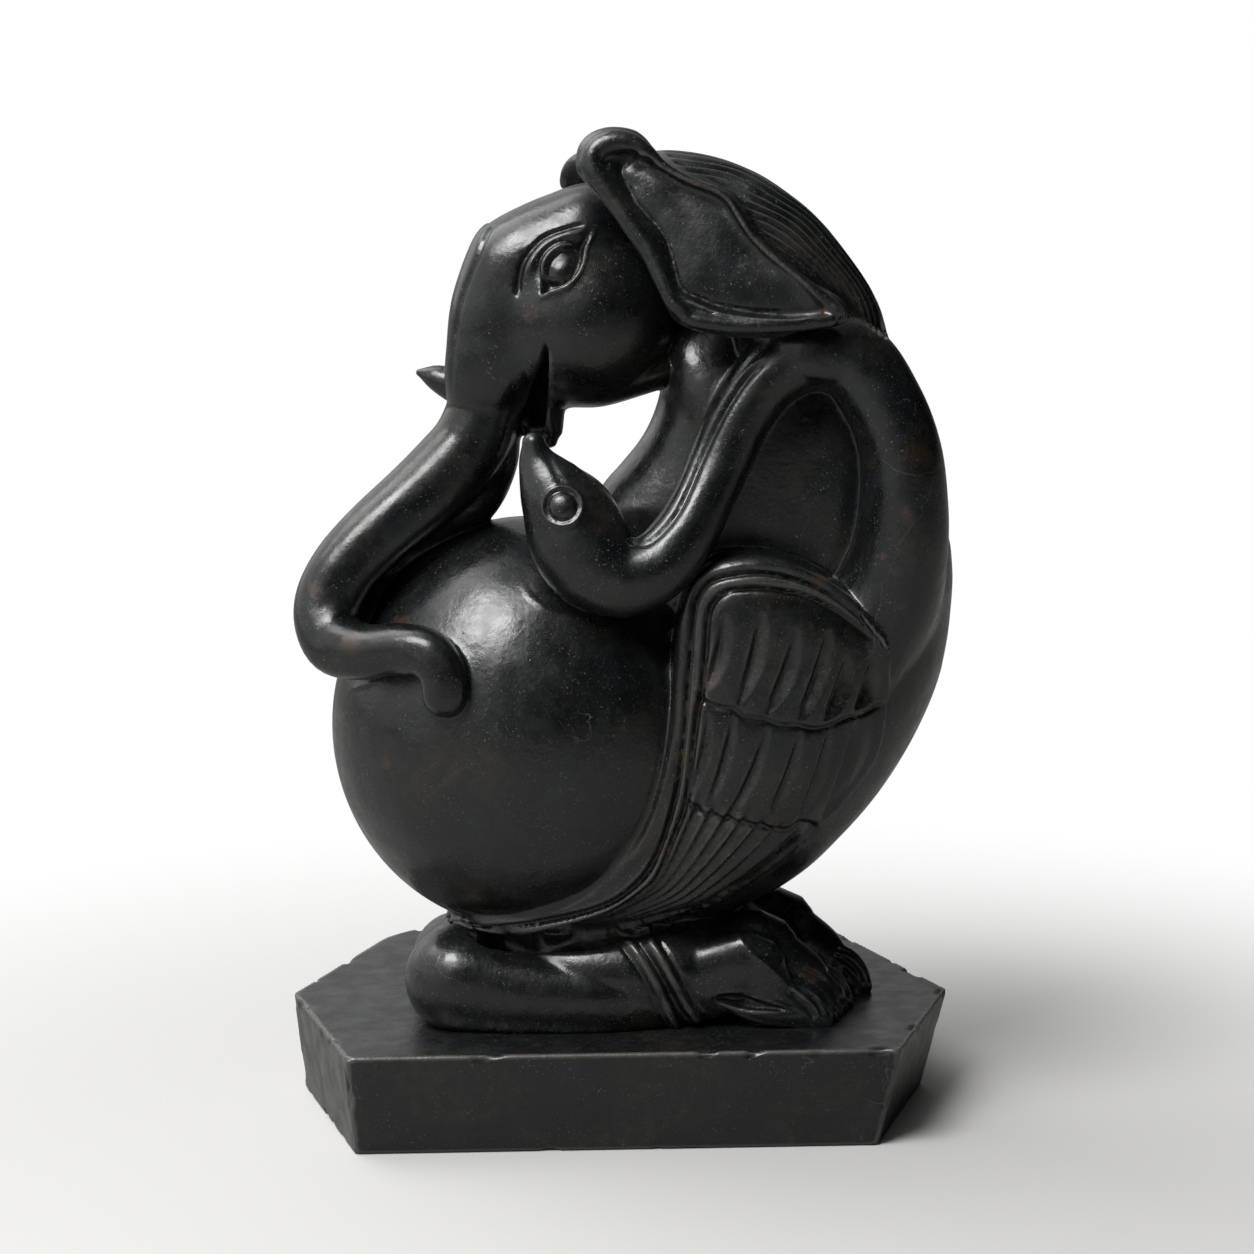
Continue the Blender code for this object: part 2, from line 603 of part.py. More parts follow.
def relax(shape, verts):
    bmesh.ops.smooth_vert(
        shape, verts=verts, factor=0.5, use_axis_x=True, use_axis_y=True, use_axis_z=True
    )


def smooth_creases(mesh, rounds=3):
    """Rounds the inner corners where one form meets the next."""
    shape = bmesh.new()
    shape.from_mesh(mesh)
    for _ in range(rounds):
        hollow = [v for v in shape.verts if v.calc_shell_factor() > 1.02
                  and any(not e.is_convex for e in v.link_edges)]
        relax(shape, hollow)
    shape.to_mesh(mesh)
    shape.free()


def soften(mesh, centre, radius, rounds):
    """Blends the forms inside a ball into one another."""
    shape = bmesh.new()
    shape.from_mesh(mesh)
    middle = Vector(centre)
    soft = [v for v in shape.verts if (v.co - middle).length < radius]
    for _ in range(rounds):
        relax(shape, soft)
    shape.to_mesh(mesh)
    shape.free()


def carve(mesh):
    stone = Stone(mesh)
    stone.face(-1)
    carve_swan(stone)
    carve_feet(stone)
    for side in (-1, 1):
        stone.face(side)
        carve_eye(stone)
        carve_head(stone)
        carve_hair(stone)
        carve_wing(stone)
    stone.finish()


def join(forms, name):
    """One mesh holding all the forms, still in drawing millimetres."""
    whole = bmesh.new()
    for form in forms:
        part = bpy.data.meshes.new("form")
        form.to_mesh(part)
        form.free()
        whole.from_mesh(part)
        bpy.data.meshes.remove(part)
    for vertex in whole.verts:
        vertex.co.z = max(vertex.co.z, -SINK / MM)
    mesh = bpy.data.meshes.new(name)
    whole.to_mesh(mesh)
    whole.free()
    return mesh


def stand_up(mesh):
    """Brings the figure from the drawing to its place on the plinth, in metres."""
    mesh.transform(Matrix.Translation((0, FIGURE_BACK, PLINTH_HEIGHT)) @ Matrix.Scale(MM, 4))
    mesh.update()


def finished(obj):
    """The object's mesh with its modifiers worked in."""
    graph = bpy.context.evaluated_depsgraph_get()
    return bpy.data.meshes.new_from_object(obj.evaluated_get(graph))


def stone_material():
    material = bpy.data.materials.new("dark_stone")
    material.use_nodes = True
    shader = material.node_tree.nodes["Principled BSDF"]
    shader.inputs["Base Color"].default_value = (0.018, 0.020, 0.021, 1.0)
    shader.inputs["Roughness"].default_value = 0.35
    return material


def round_off(block, edges, width, segments):
    bmesh.ops.bevel(
        block, geom=edges, offset=width, affect="EDGES", segments=segments, profile=0.5, material=-1
    )


def plinth():
    """The hexagonal block under the figure, a little narrower at the bottom."""
    half_x, half_y = PLINTH_LENGTH / 2, PLINTH_DEPTH / 2
    block = bmesh.new()
    top = [block.verts.new((x * half_x, y * half_y, PLINTH_HEIGHT)) for x, y in PLINTH_CORNERS]
    face = block.faces.new(top)
    made = bmesh.ops.extrude_face_region(block, geom=[face])
    low = [v for v in made["geom"] if isinstance(v, bmesh.types.BMVert)]
    for vertex in low:
        vertex.co.x = vertex.co.x * (1 - PLINTH_BATTER / half_x) + PLINTH_LEAN
        vertex.co.y *= 1 - PLINTH_BATTER_Y / half_y
        vertex.co.z = 0
    bmesh.ops.recalc_face_normals(block, faces=block.faces)
    back = [e for e in block.edges if all(v.co.y > half_y * 0.9 for v in e.verts)
            and abs(e.verts[0].co.z - e.verts[1].co.z) > PLINTH_HEIGHT / 2]
    round_off(block, back, PLINTH_BACK_CORNER, 6)
    sharp = [e for e in block.edges if e.calc_face_angle(0) > 0.5]
    round_off(block, sharp, PLINTH_EDGE, 2)
    mesh = bpy.data.meshes.new("plinth")
    block.to_mesh(mesh)
    block.free()
    return mesh


def helper(name, mesh, collection):
    """An object that others are made from, which a render leaves out."""
    obj = bpy.data.objects.new(name, mesh)
    collection.objects.link(obj)
    obj.hide_render = True
    obj.display_type = "WIRE"
    return obj


def statue():
    parts = new_collection("ganesha_statue")
    tools = new_collection("cutters")
    rough = helper("forms", join(figure_forms(), "forms"), tools)
    remesh = rough.modifiers.new("merge", "REMESH")
    remesh.mode = "VOXEL"
    remesh.voxel_size = GRAIN
    mesh = finished(rough)
    soften(mesh, *FACE_BLEND)
    smooth_creases(mesh)
    carve(mesh)
    carved = helper("carved", mesh, tools)
    thin = carved.modifiers.new("thin", "DECIMATE")
    thin.ratio = TRIANGLES / (2 * len(mesh.vertices))
    mesh = finished(carved)
    stand_up(mesh)
    figure = bpy.data.objects.new("ganesha_statue", mesh)
    parts.objects.link(figure)
    union = figure.modifiers.new("union", "BOOLEAN")
    union.operation = "UNION"
    union.object = helper("plinth", plinth(), tools)
    figure.data.materials.clear()
    figure.data.materials.append(stone_material())


clear_scene()
statue()
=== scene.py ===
import math

import bmesh
import bpy
import numpy as np
from mathutils import Matrix, Vector, noise


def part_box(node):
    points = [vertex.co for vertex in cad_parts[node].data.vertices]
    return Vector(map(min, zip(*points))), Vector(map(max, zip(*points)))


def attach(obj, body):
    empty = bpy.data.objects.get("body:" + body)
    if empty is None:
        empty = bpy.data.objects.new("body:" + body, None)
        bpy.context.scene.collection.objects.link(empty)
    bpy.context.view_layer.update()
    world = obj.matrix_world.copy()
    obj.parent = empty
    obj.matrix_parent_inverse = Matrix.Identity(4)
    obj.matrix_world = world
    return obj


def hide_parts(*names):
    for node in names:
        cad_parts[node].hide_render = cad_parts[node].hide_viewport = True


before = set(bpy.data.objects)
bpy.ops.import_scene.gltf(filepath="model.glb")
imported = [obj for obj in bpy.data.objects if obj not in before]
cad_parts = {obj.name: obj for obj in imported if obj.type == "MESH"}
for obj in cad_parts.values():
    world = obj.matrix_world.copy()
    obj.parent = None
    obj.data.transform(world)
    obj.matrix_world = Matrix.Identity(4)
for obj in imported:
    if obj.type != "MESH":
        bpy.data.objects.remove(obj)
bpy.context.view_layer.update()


# Belly, back and seat
# The round belly is the front of the figure and the broad back its rear, cut smooth and polished.
# All the figure's forms are drawn in millimetres: X to the right, Y from its middle plane
# (negative in front), Z above the plinth's top.

BELLY = (-28, 0, 87.5)
BELLY_REACH = (60.3, 54, 63.5)
SEAT = (2, 0, 16)  # the stone left standing between the legs
SEAT_REACH = (55, 38, 20)
TORSO = [
    (15.1, 208.5), (12.1, 190.5), (9.5, 181.4), (5.6, 173.9), (-0.5, 166.3), (-5.6, 160.3),
    (-11.0, 149.6), (-6.5, 112.6), (42.2, 93.4), (78.6, 124.1), (85.7, 161.0), (80.8, 185.4),
    (71.5, 203.6), (41.4, 215.8),
]
TORSO_MIDDLE = [(40, 160, 0, 25)]  # x, z, y of the middle and half-thickness
RUMP = [
    (-52.4, 24.6), (-37.5, 20.0), (-19.0, 18.0), (-0.5, 19.5), (18.0, 24.0), (39.0, 31.5),
    (55.5, 41.5), (67.5, 53.0), (77.8, 65.0), (86.0, 77.5), (92.2, 89.5), (96.6, 101.0),
    (99.2, 112.4), (100.4, 124.4), (100.6, 136.2), (97.0, 148.6), (78.3, 145.7), (48.0, 136.8),
    (17.7, 127.8), (-18.7, 112.8), (-49.3, 75.7),
]
RUMP_MIDDLE = [(30, 80, 0, 44)]
SWAN_BED = [(-32.5, 137.6), (-30.4, 130.8), (-26.2, 125.2), (-19.9, 121.4), (-9.6, 118.9), (1.0, 118.7)]
TRUNK_BED = [(-84.5, 98.0), (-78.7, 99.8), (-71.7, 101.9), (-65.7, 103.7), (-61.2, 101.8)]
forms = []


def ease(value):
    """A soft step from 0 to 1."""
    value = np.clip(value, 0, 1)
    return value * value * (3 - 2 * value)


def smooth_path(rows, closed=False, steps=8):
    """A Catmull-Rom curve through rows of numbers."""
    rows = np.array(rows, float)
    if closed:
        rows = np.vstack([rows[-1], rows, rows[:2]])
    else:
        rows = np.vstack([2 * rows[0] - rows[1], rows, 2 * rows[-1] - rows[-2]])
    t = np.linspace(0, 1, steps, endpoint=False)[:, None]
    spans = []
    for a, b, c, d in zip(rows, rows[1:], rows[2:], rows[3:]):
        bend = (2 * a - 5 * b + 4 * c - d) * t**2 + (3 * b - a - 3 * c + d) * t**3
        spans.append(b + 0.5 * ((c - a) * t + bend))
    if not closed:
        spans.append(rows[-2][None])
    return np.vstack(spans)


def even_path(rows, count, closed=False):
    """The smooth curve through the rows, cut into evenly spaced points."""
    path = smooth_path(rows, closed)
    if closed:
        path = np.vstack([path, path[:1]])
    run = np.concatenate([[0], np.cumsum(np.linalg.norm(np.diff(path[:, :3], axis=0), axis=1))])
    wanted = np.linspace(0, run[-1], count, endpoint=not closed)
    return np.stack([np.interp(wanted, run, column) for column in path.T], axis=1)


def to_path(spots, path):
    """For each spot: distance to the path, sign of its side (left of the way is +), share along it."""
    best = np.full(len(spots), np.inf)
    side = np.zeros(len(spots))
    share = np.zeros(len(spots))
    count = max(1, len(path) - 1)
    for i, (a, b) in enumerate(zip(path, path[1:])):
        way = b - a
        if way @ way == 0:
            continue
        t = np.clip(((spots - a) @ way) / (way @ way), 0, 1)
        off = spots - a - t[:, None] * way
        gap = np.hypot(*off.T)
        closer = gap < best
        best = np.where(closer, gap, best)
        side = np.where(closer, np.sign(way[0] * off[:, 1] - way[1] * off[:, 0]), side)
        share = np.where(closer, (i + t) / count, share)
    return best, side, share


def inside(spots, outline):
    """Which spots lie within a closed outline."""
    within = np.zeros(len(spots), bool)
    x, z = spots.T
    for (ax, az), (bx, bz) in zip(outline, np.roll(outline, -1, axis=0)):
        if az != bz:
            within ^= ((az > z) != (bz > z)) & (x < (bx - ax) * (z - az) / (bz - az) + ax)
    return within


def ball(rings, around):
    """A sphere, with the ring and the turn (0 to 1) of each of its vertices."""
    shape = bmesh.new()
    bmesh.ops.create_uvsphere(shape, u_segments=around, v_segments=rings, radius=1.0)
    points = np.array([v.co for v in shape.verts])
    ring = np.rint(np.arccos(np.clip(points[:, 2], -1, 1)) / math.pi * rings).astype(int)
    turn = np.arctan2(points[:, 1], points[:, 0]) / math.tau % 1.0
    return shape, ring, turn


def place(shape, points):
    """Moves the vertices to the points, and turns the faces outwards."""
    for vertex, point in zip(shape.verts, points):
        vertex.co = point
    bmesh.ops.recalc_face_normals(shape, faces=shape.faces)
    if shape.calc_volume(signed=True) < 0:
        bmesh.ops.reverse_faces(shape, faces=shape.faces)
    return shape


def ellipsoid(centre, radii, around=128):
    """A ball drawn out to a half-width along each axis."""
    shape, _, _ = ball(around // 2, around)
    points = np.array([v.co for v in shape.verts]) * radii + centre
    return place(shape, points)


def pillow(outline, spine, square=2.0, tilt=(0, 0), bend=0.0, around=160, rings=40):
    """A closed outline in the side view, swollen about a spine of rows x, z, middle y, half in y."""
    rim = even_path(outline, around, closed=True)
    rows = smooth_path(spine) if len(spine) > 1 else np.array(spine, float)
    _, _, share = to_path(rim, rows[:, :2])
    steps = np.linspace(0, 1, len(rows))
    root = np.stack([np.interp(share, steps, column) for column in rows.T], axis=1)
    shape, ring, turn = ball(rings, around)
    index = np.rint(turn * around).astype(int) % around
    step = np.minimum(ring, rings - ring)
    share = np.clip((step - 1) / (rings / 2 - 1), 0, 1)  # the first ring lies on the spine itself
    lat = np.where(ring <= rings / 2, share, 2 - share) * math.pi / 2
    out = (rim[index] - root[index, :2]) * (np.abs(np.sin(lat)) ** (2 / square))[:, None]
    rise = -np.sign(np.cos(lat)) * np.abs(np.cos(lat)) ** (2 / square) * root[index, 3]
    lean = out[:, 0] * tilt[0] + out[:, 1] * tilt[1] + bend * np.clip(out[:, 0], 0, None) ** 2
    flat = root[index, :2] + out
    return place(shape, np.stack([flat[:, 0], root[index, 2] + rise + lean, flat[:, 1]], axis=1))


def carve_belly(stone):
    """Leaves a low welt on the belly where the swan and the trunk's tip lie on it."""
    stone.line(SWAN_BED, width=1.0, height=0.3, taper=0.4)
    stone.line(TRUNK_BED, width=0.6, height=0.6, taper=0.3)


forms.append(ellipsoid(BELLY, BELLY_REACH))
forms.append(ellipsoid(SEAT, SEAT_REACH))
forms.append(pillow(RUMP, RUMP_MIDDLE, square=2.2))
forms.append(pillow(TORSO, TORSO_MIDDLE, square=2.6))


# Head and trunk
# The head is a flat-sided block with a round cheek, and the mouth is cut in under it. The trunk
# is one long limb that swings out, back under and up to its curled tip on the belly.

CHEEK = (-12, 0, 213.5)
CHEEK_REACH = (29, 29, 28.5)
HEAD = [
    (-9.3, 251.8), (-22.6, 248.0), (-32.4, 243.8), (-38.6, 240.4), (-42.8, 236.8), (-45.6, 231.8),
    (-48.6, 223.8), (-51.0, 215.0), (-52.3, 204.5), (-53.0, 194.0), (-51.0, 184.0), (-42.4, 180.4),
    (-31.9, 186.3), (-25.9, 195.3), (-21.3, 205.8), (-6.4, 216.2), (5.5, 228.0), (1.1, 245.9),
]
HEAD_MIDDLE = [(-25, 215, 0, 20)]
TRUNK = [
    (-33, 0, 206, 17, 17),
    (-37, 0, 196, 14.5, 16.5),
    (-40.3, 0, 187, 11.4, 15.5),
    (-45.2, -2, 175.1, 11.4, 14.5),
    (-52.6, -4.5, 166.7, 11.4, 14),
    (-61.8, -7.5, 158.5, 11.0, 13.5),
    (-75.0, -12, 147.7, 10.4, 12.5),
    (-83.6, -15.5, 138.8, 10.1, 11.5),
    (-88.1, -18, 130.4, 10.1, 11),
    (-88.7, -21.5, 123.7, 9.7, 10.5),
    (-85.4, -27, 118.4, 9.2, 9.5),
    (-77.1, -35, 117.8, 7.9, 8.5),
    (-66.8, -41, 120.2, 7.0, 8),
    (-59.0, -45, 119.4, 7.0, 8),
    (-54.8, -47, 114.0, 7.0, 8),
    (-54.2, -48, 108.1, 6.7, 7.5),
]
TRUNK_WEB = [
    (-37.3, 2, 177.3, 7.2, 9),
    (-40.1, 2, 167.6, 8.7, 9),
    (-46.2, 2, 157.6, 9.6, 9),
    (-56.1, 2, 150.1, 9.0, 9),
    (-66.7, 2, 141.0, 8.4, 8),
    (-73.9, 0, 133.0, 7.6, 8),
    (-77.5, -4, 124.5, 6.6, 9),
    (-80.0, -8, 117.0, 5.0, 8),
]
JAW = [
    (8.0, 0, 196.5, 7.0, 16),
    (-6.4, 0, 192.6, 7.2, 18),
    (-15.0, 0, 191.0, 6.0, 15),
    (-21.0, 0, 190.5, 5.0, 12),
]
LIP = [
    (-21.5, 1, 190.8, 5.8, 10),
    (-21.4, 1, 183.2, 4.4, 8),
    (-20.9, 1, 177.3, 3.2, 6),
    (-21.2, 1, 175.4, 2.2, 4),
]
MOUTH_FLOOR = [(-28, 5, 192, 8, 9), (-26, 5, 180.5, 5.5, 8)]
TUSK = [
    (-44.0, 13, 187.0, 6.0, 6.0),
    (-51.1, 14, 190.1, 5.1, 5.1),
    (-56.5, 15, 192.2, 3.6, 3.6),
    (-60.5, 16, 193.3, 1.2, 1.2),
]
BROW_EDGE = [
    (-12.0, 254.8), (-22.6, 249.8), (-33.0, 244.6), (-39.0, 238.7), (-43.5, 228.3), (-48.0, 216.4),
    (-50.5, 201.5), (-51.3, 186.5),
]
BROW_STEP = 0.8  # how far the flat of the forehead stands out past the side of the head
MOUTH_FRONT = [
    (-23.1, 206.4), (-24.9, 200.7), (-27.1, 193.8), (-28.6, 186.3), (-29.8, 178.7), (-30.8, 172.7),
]
MOUTH_BACK = [
    (-22.5, 206.4), (-21.9, 201.3), (-22.0, 193.8), (-22.3, 187.7), (-22.9, 181.7), (-24.2, 174.1),
]
MOUTH_DEPTH = 9.0
BEAK_TIP = (27.5, 35, 178.0)  # all without signs, so that it holds on both sides
BEAK_CLEAR = 6  # the mouth isn't cut any nearer than this to the swan's beak


def limb(stations, around=48, gap=1.5, square=2.0):
    """A drawn-out ball: each station is x, y, z, half-width in the side view, half-width in Y."""
    stations = np.array(stations, float)
    length = np.linalg.norm(np.diff(stations[:, :3], axis=0), axis=1).sum()
    path = even_path(stations, max(4, round(length / gap)))
    along = np.gradient(path[:, :3], axis=0)
    along /= np.linalg.norm(along, axis=1)[:, None]
    cap = np.linspace(0, math.pi / 2, 9)[:-1]
    centres, ways, widths = [], [], []
    for end, sign in ((0, -1), (-1, 1)):
        reach = path[end, 3:5].mean()
        rows = path[end, :3] + sign * along[end] * reach * np.cos(cap)[:, None]
        size = np.sin(cap)[:, None] * path[end, 3:5]
        centres.append(rows if sign < 0 else rows[::-1])
        widths.append(size if sign < 0 else size[::-1])
        ways.append(np.repeat(along[end][None], len(cap), axis=0))
    centres = np.vstack([centres[0], path[:, :3], centres[1]])
    widths = np.vstack([widths[0], path[:, 3:5], widths[1]])
    ways = np.vstack([ways[0], along, ways[1]])
    deep = np.array([0, 1, 0]) - ways[:, 1:2] * ways
    deep /= np.linalg.norm(deep, axis=1)[:, None]
    flat = np.cross(deep, ways)
    shape, ring, turn = ball(len(centres) - 1, around)
    c, s = np.cos(turn * math.tau), np.sin(turn * math.tau)
    reach = (np.abs(c) ** square + np.abs(s) ** square) ** (-1 / square)
    points = centres[ring]
    points = points + flat[ring] * (c * reach * widths[ring, 0])[:, None]
    points = points + deep[ring] * (s * reach * widths[ring, 1])[:, None]
    return place(shape, points)


def carve_head(stone):
    """Cuts the edge of the forehead, and the mouth as a wedge in front of the cheek."""
    path = smooth_path(BROW_EDGE)
    picked = stone.near(path, 4)
    gap, side, share = to_path(stone.drawn[picked], path)
    ends = ease(np.minimum(share, 1 - share) / 0.3)
    facet = np.where(side < 0, ease(gap / 0.5) * np.exp(-gap / 3), 0) * ends
    stone.cut[picked] += BROW_STEP * facet
    stone.line(BROW_EDGE, width=0.6, height=-0.5, taper=0.1)
    mouth = np.vstack([smooth_path(MOUTH_FRONT), smooth_path(MOUTH_BACK)[::-1]])
    picked = stone.near(mouth, 1)
    within = inside(stone.drawn[picked], mouth)
    within &= np.linalg.norm(np.abs(stone.points[picked]) - BEAK_TIP, axis=1) > BEAK_CLEAR
    front, _, _ = to_path(stone.drawn[picked], smooth_path(MOUTH_FRONT))
    rear, _, _ = to_path(stone.drawn[picked], smooth_path(MOUTH_BACK))
    stone.cut[picked] -= np.where(within, MOUTH_DEPTH * ease(front / 5) * ease(rear / 1.2), 0)


forms.append(ellipsoid(CHEEK, CHEEK_REACH))
forms.append(pillow(HEAD, HEAD_MIDDLE, square=3.0))
forms.append(limb(TRUNK, square=2.6))
for stations in (TRUNK_WEB, JAW, LIP, MOUTH_FLOOR, TUSK):
    forms.append(limb(stations))


# Eyes
# A heavy upper lid, a thin raised lower lid with a wavy corner, and an oval ball set between
# them. Both eyes are cut the same.

EYE_FOLD = [(-30.9, 217.5), (-30.9, 222.9), (-28.7, 229.4), (-23.4, 235.3), (-17.0, 238.0), (-9.9, 239.7)]
EYE_LID = [(-27.8, 219.5), (-27.2, 227.0), (-23.9, 232.4), (-19.1, 235.5), (-13.8, 237.4), (-8.3, 240.1)]
EYE_OPEN = [
    (-24.3, 218.4), (-24.2, 222.5), (-23.0, 227.0), (-20.6, 230.9), (-17.1, 233.2), (-13.2, 234.1),
    (-10.5, 236.4), (-7.3, 239.4),
]
EYE_LOWER = [
    (-25.3, 217.4), (-20.7, 219.8), (-16.5, 221.3), (-13.2, 224.6), (-11.4, 228.7), (-10.5, 233.2),
    (-7.0, 239.6),
]
EYEBALL = (-18.2, 228.3)
EYEBALL_HALVES = (6.8, 4.8)  # long one up and to the right, short one across it


def dome(radius, height):
    """A round rise out to radius 1."""
    return height * np.sqrt(np.clip(1 - radius**2, 0, 1))


def rounded_ring(radius, middle, width, height):
    """A rounded ridge round the radius at middle."""
    return height * np.exp(-(((radius - middle) / width) ** 2))


def carve_eye(stone):
    """Cuts the fold over the eye, its lids and socket, and leaves the ball standing."""
    stone.line(EYE_FOLD, width=0.8, height=-1.9)
    stone.line(EYE_LID, width=2.3, height=2.0, taper=0.25)
    socket = np.vstack([smooth_path(EYE_OPEN), smooth_path(EYE_LOWER)[::-1]])
    picked = stone.near(socket, 1)
    within = inside(stone.drawn[picked], socket)
    rim, _, _ = to_path(stone.drawn[picked], np.vstack([socket, socket[:1]]))
    stone.cut[picked] -= np.where(within, 3.0 * ease(rim / 1.7), 0)
    stone.line(EYE_LOWER, width=0.6, height=1.1, taper=0.1)
    long, short = EYEBALL_HALVES
    picked = stone.near([EYEBALL], 2 * long)
    x, z = (stone.drawn[picked] - EYEBALL).T
    radius = np.hypot((x + z) / math.sqrt(2) / long, (z - x) / math.sqrt(2) / short)
    stone.cut[picked] += dome(radius, 3.6) - rounded_ring(radius, 0.62, 0.08, 0.3)


# Ears
# Each ear is a tilted leaf with a rolled rim all round and a hollow dish. A deep fold parts the
# dish from the thick roll over its front, and the far ear sits a little lower.

EAR = [
    (-13.8, 257.0), (-14.4, 261.4), (-13.2, 265.4), (-10.3, 268.3), (-6.3, 269.9), (-2.2, 270.2),
    (2.7, 269.3), (5.9, 267.1), (8.6, 263.9), (15.2, 257.3), (25.6, 252.6), (32.5, 246.6),
    (39.3, 236.6), (50.1, 228.7), (61.2, 222.2), (63.6, 217.5), (61.3, 214.3), (50.2, 212.6),
    (41.5, 210.7), (26.9, 211.4), (15.3, 214.4), (10.6, 220.2), (5.1, 231.8), (-0.7, 242.0),
    (-7.9, 250.1),
]
EAR_MIDDLE = (16, 236)
EAR_OUT = 31  # how far the ear's middle stands from the middle plane
EAR_HALF = 5.5
EAR_TILT = (0.05, -0.3)  # how it slopes outwards along X and Z
FAR_EAR_DROP = (-3, -10)  # the far ear's top loop sits further forward and lower
EAR_ROLL = [
    (16.5, 217.6, 2.0), (13.0, 220.8, 2.2), (10.6, 226.0, 2.5), (8.4, 231.2, 2.7), (5.9, 236.2, 2.8),
    (2.0, 241.7, 2.8), (-1.9, 247.2, 2.8), (-6.3, 253.2, 3.0), (-9.2, 257.5, 3.3), (-9.9, 261.2, 3.5),
    (-7.8, 264.6, 3.7), (-3.1, 266.3, 3.7), (1.5, 265.4, 3.4), (5.5, 262.9, 2.9), (9.8, 259.2, 2.0),
]
EAR_BRIM = [
    (7.5, 261.2, 2.2), (13.2, 257.2, 1.9), (19.8, 254.1, 1.9), (25.9, 251.8, 1.9), (29.6, 249.0, 1.9),
    (32.7, 244.2, 1.9), (36.9, 238.6, 1.9), (42.6, 233.0, 1.9), (50.6, 226.5, 1.9), (57.4, 221.5, 1.9),
    (60.6, 218.6, 2.0),
]
EAR_FOOT = [
    (16.0, 217.0, 2.0), (18.5, 216.2, 2.5), (23.0, 215.5, 2.6), (32.1, 214.6, 2.5), (46.6, 214.8, 2.3),
    (58.2, 216.1, 2.0),
]
EAR_GROOVE = [
    (6.1, 260.3), (1.9, 260.0), (-0.4, 258.9), (-1.3, 256.5), (-0.4, 253.5), (1.1, 250.6), (3.4, 246.1),
    (7.3, 241.7), (10.9, 237.5), (13.0, 233.0), (14.5, 227.4), (16.0, 222.0), (18.1, 219.0),
    (22.5, 216.9), (29.1, 214.4), (36.9, 212.9), (48.3, 211.9), (60.4, 212.1),
]
EAR_RIM = [
    (5.5, 260.6), (9.0, 259.7), (12.0, 257.0), (20.3, 252.3), (27.2, 249.9), (31.6, 246.9), (34.6, 242.1),
    (38.3, 236.2), (44.3, 230.2), (53.3, 223.0), (60.7, 214.9),
]
EAR_HEM = [(17.5, 218.3), (22.5, 215.8), (29.1, 213.3), (36.9, 211.8), (48.3, 210.9), (61.5, 211.4)]


def ear_plane(x, z, side):
    """Y of the ear's middle at a place in the side view: -1 is the near ear, 1 the far one."""
    return side * (EAR_OUT + (x - EAR_MIDDLE[0]) * EAR_TILT[0] + (z - EAR_MIDDLE[1]) * EAR_TILT[1])


def ear_drop(rows, side):
    """The rows in the side view, with the far ear's top set lower."""
    rows = np.array(rows, float)
    if side > 0:
        rows[:, :2] += np.array(FAR_EAR_DROP) * ease((rows[:, 1:2] - EAR_MIDDLE[1]) / 25)
    return rows


def ear(side):
    """The leaf of the ear and the rolls along its rim."""
    tilt = [side * slope for slope in EAR_TILT]
    spine = [(*EAR_MIDDLE, side * EAR_OUT, EAR_HALF)]
    shapes = [pillow(ear_drop(EAR, side), spine, square=3.0, tilt=tilt)]
    for roll, proud in ((EAR_ROLL, 4.2), (EAR_BRIM, 3.8), (EAR_FOOT, 3.4)):
        rows = [(x, ear_plane(x, z, side) + side * proud, z, r, r) for x, z, r in ear_drop(roll, side)]
        shapes.append(limb(rows, around=24, gap=1.0))
    return shapes


def carve_ear(stone):
    """Hollows the dish behind its fold, and leaves a hem along the foot of the ear."""
    fold, brim, hem = (ear_drop(rows, stone.side) for rows in (EAR_GROOVE, EAR_RIM, EAR_HEM))
    dish = np.vstack([smooth_path(fold), smooth_path(brim)[::-1]])
    picked = stone.near(dish, 1)
    within = inside(stone.drawn[picked], dish)
    gap, _, _ = to_path(stone.drawn[picked], smooth_path(fold))
    rim, _, _ = to_path(stone.drawn[picked], smooth_path(brim))
    sunk = (2.8 * np.exp(-gap / 10) * ease(rim / 5) + 0.9 * ease(rim / 1.5)) * ease(gap / 1.2)
    stone.cut[picked] -= np.where(within, sunk, 0)
    stone.line(fold, width=1.1, height=-2.0, taper=0.05)
    stone.line(hem, width=0.7, height=1.1, taper=0.1)


for side in (-1, 1):
    forms.extend(ear(side))


# Hair
# The hair is one swept-back mass over the crown and down to the nape, cut into fine strands that
# follow its outline and close up towards the nape.

HAIR = [
    (3.0, 259.4), (10.8, 261.2), (17.3, 261.2), (26.2, 259.8), (35.1, 257.0), (44.1, 252.6),
    (53.1, 246.3), (59.1, 240.9), (65.1, 234.0), (71.2, 225.9), (75.6, 218.4), (78.4, 211.5),
    (79.5, 203.5), (71.5, 200.6), (41.5, 203.8), (20.5, 213.0), (5.5, 231.0), (-1.9, 248.8),
]
HAIR_MIDDLE = [(38, 228, 0, 34)]
HAIR_EDGE = [
    (7.0, 265.9), (9.9, 262.0), (17.4, 255.2), (28.1, 250.5), (35.2, 244.2), (42.2, 232.9), (53.3, 224.7),
    (64.7, 218.1), (68.4, 213.3), (74.5, 206.6), (81.4, 202.0),
]
STRAND, STRAND_DEPTH = 3.0, 1.9  # spacing and depth of the strands
STRAND_LEAN = 0.22  # how much closer together they look towards the side of the head
NAPE_CLOSING = 0.8  # how much closer they lie at the nape than over the brow


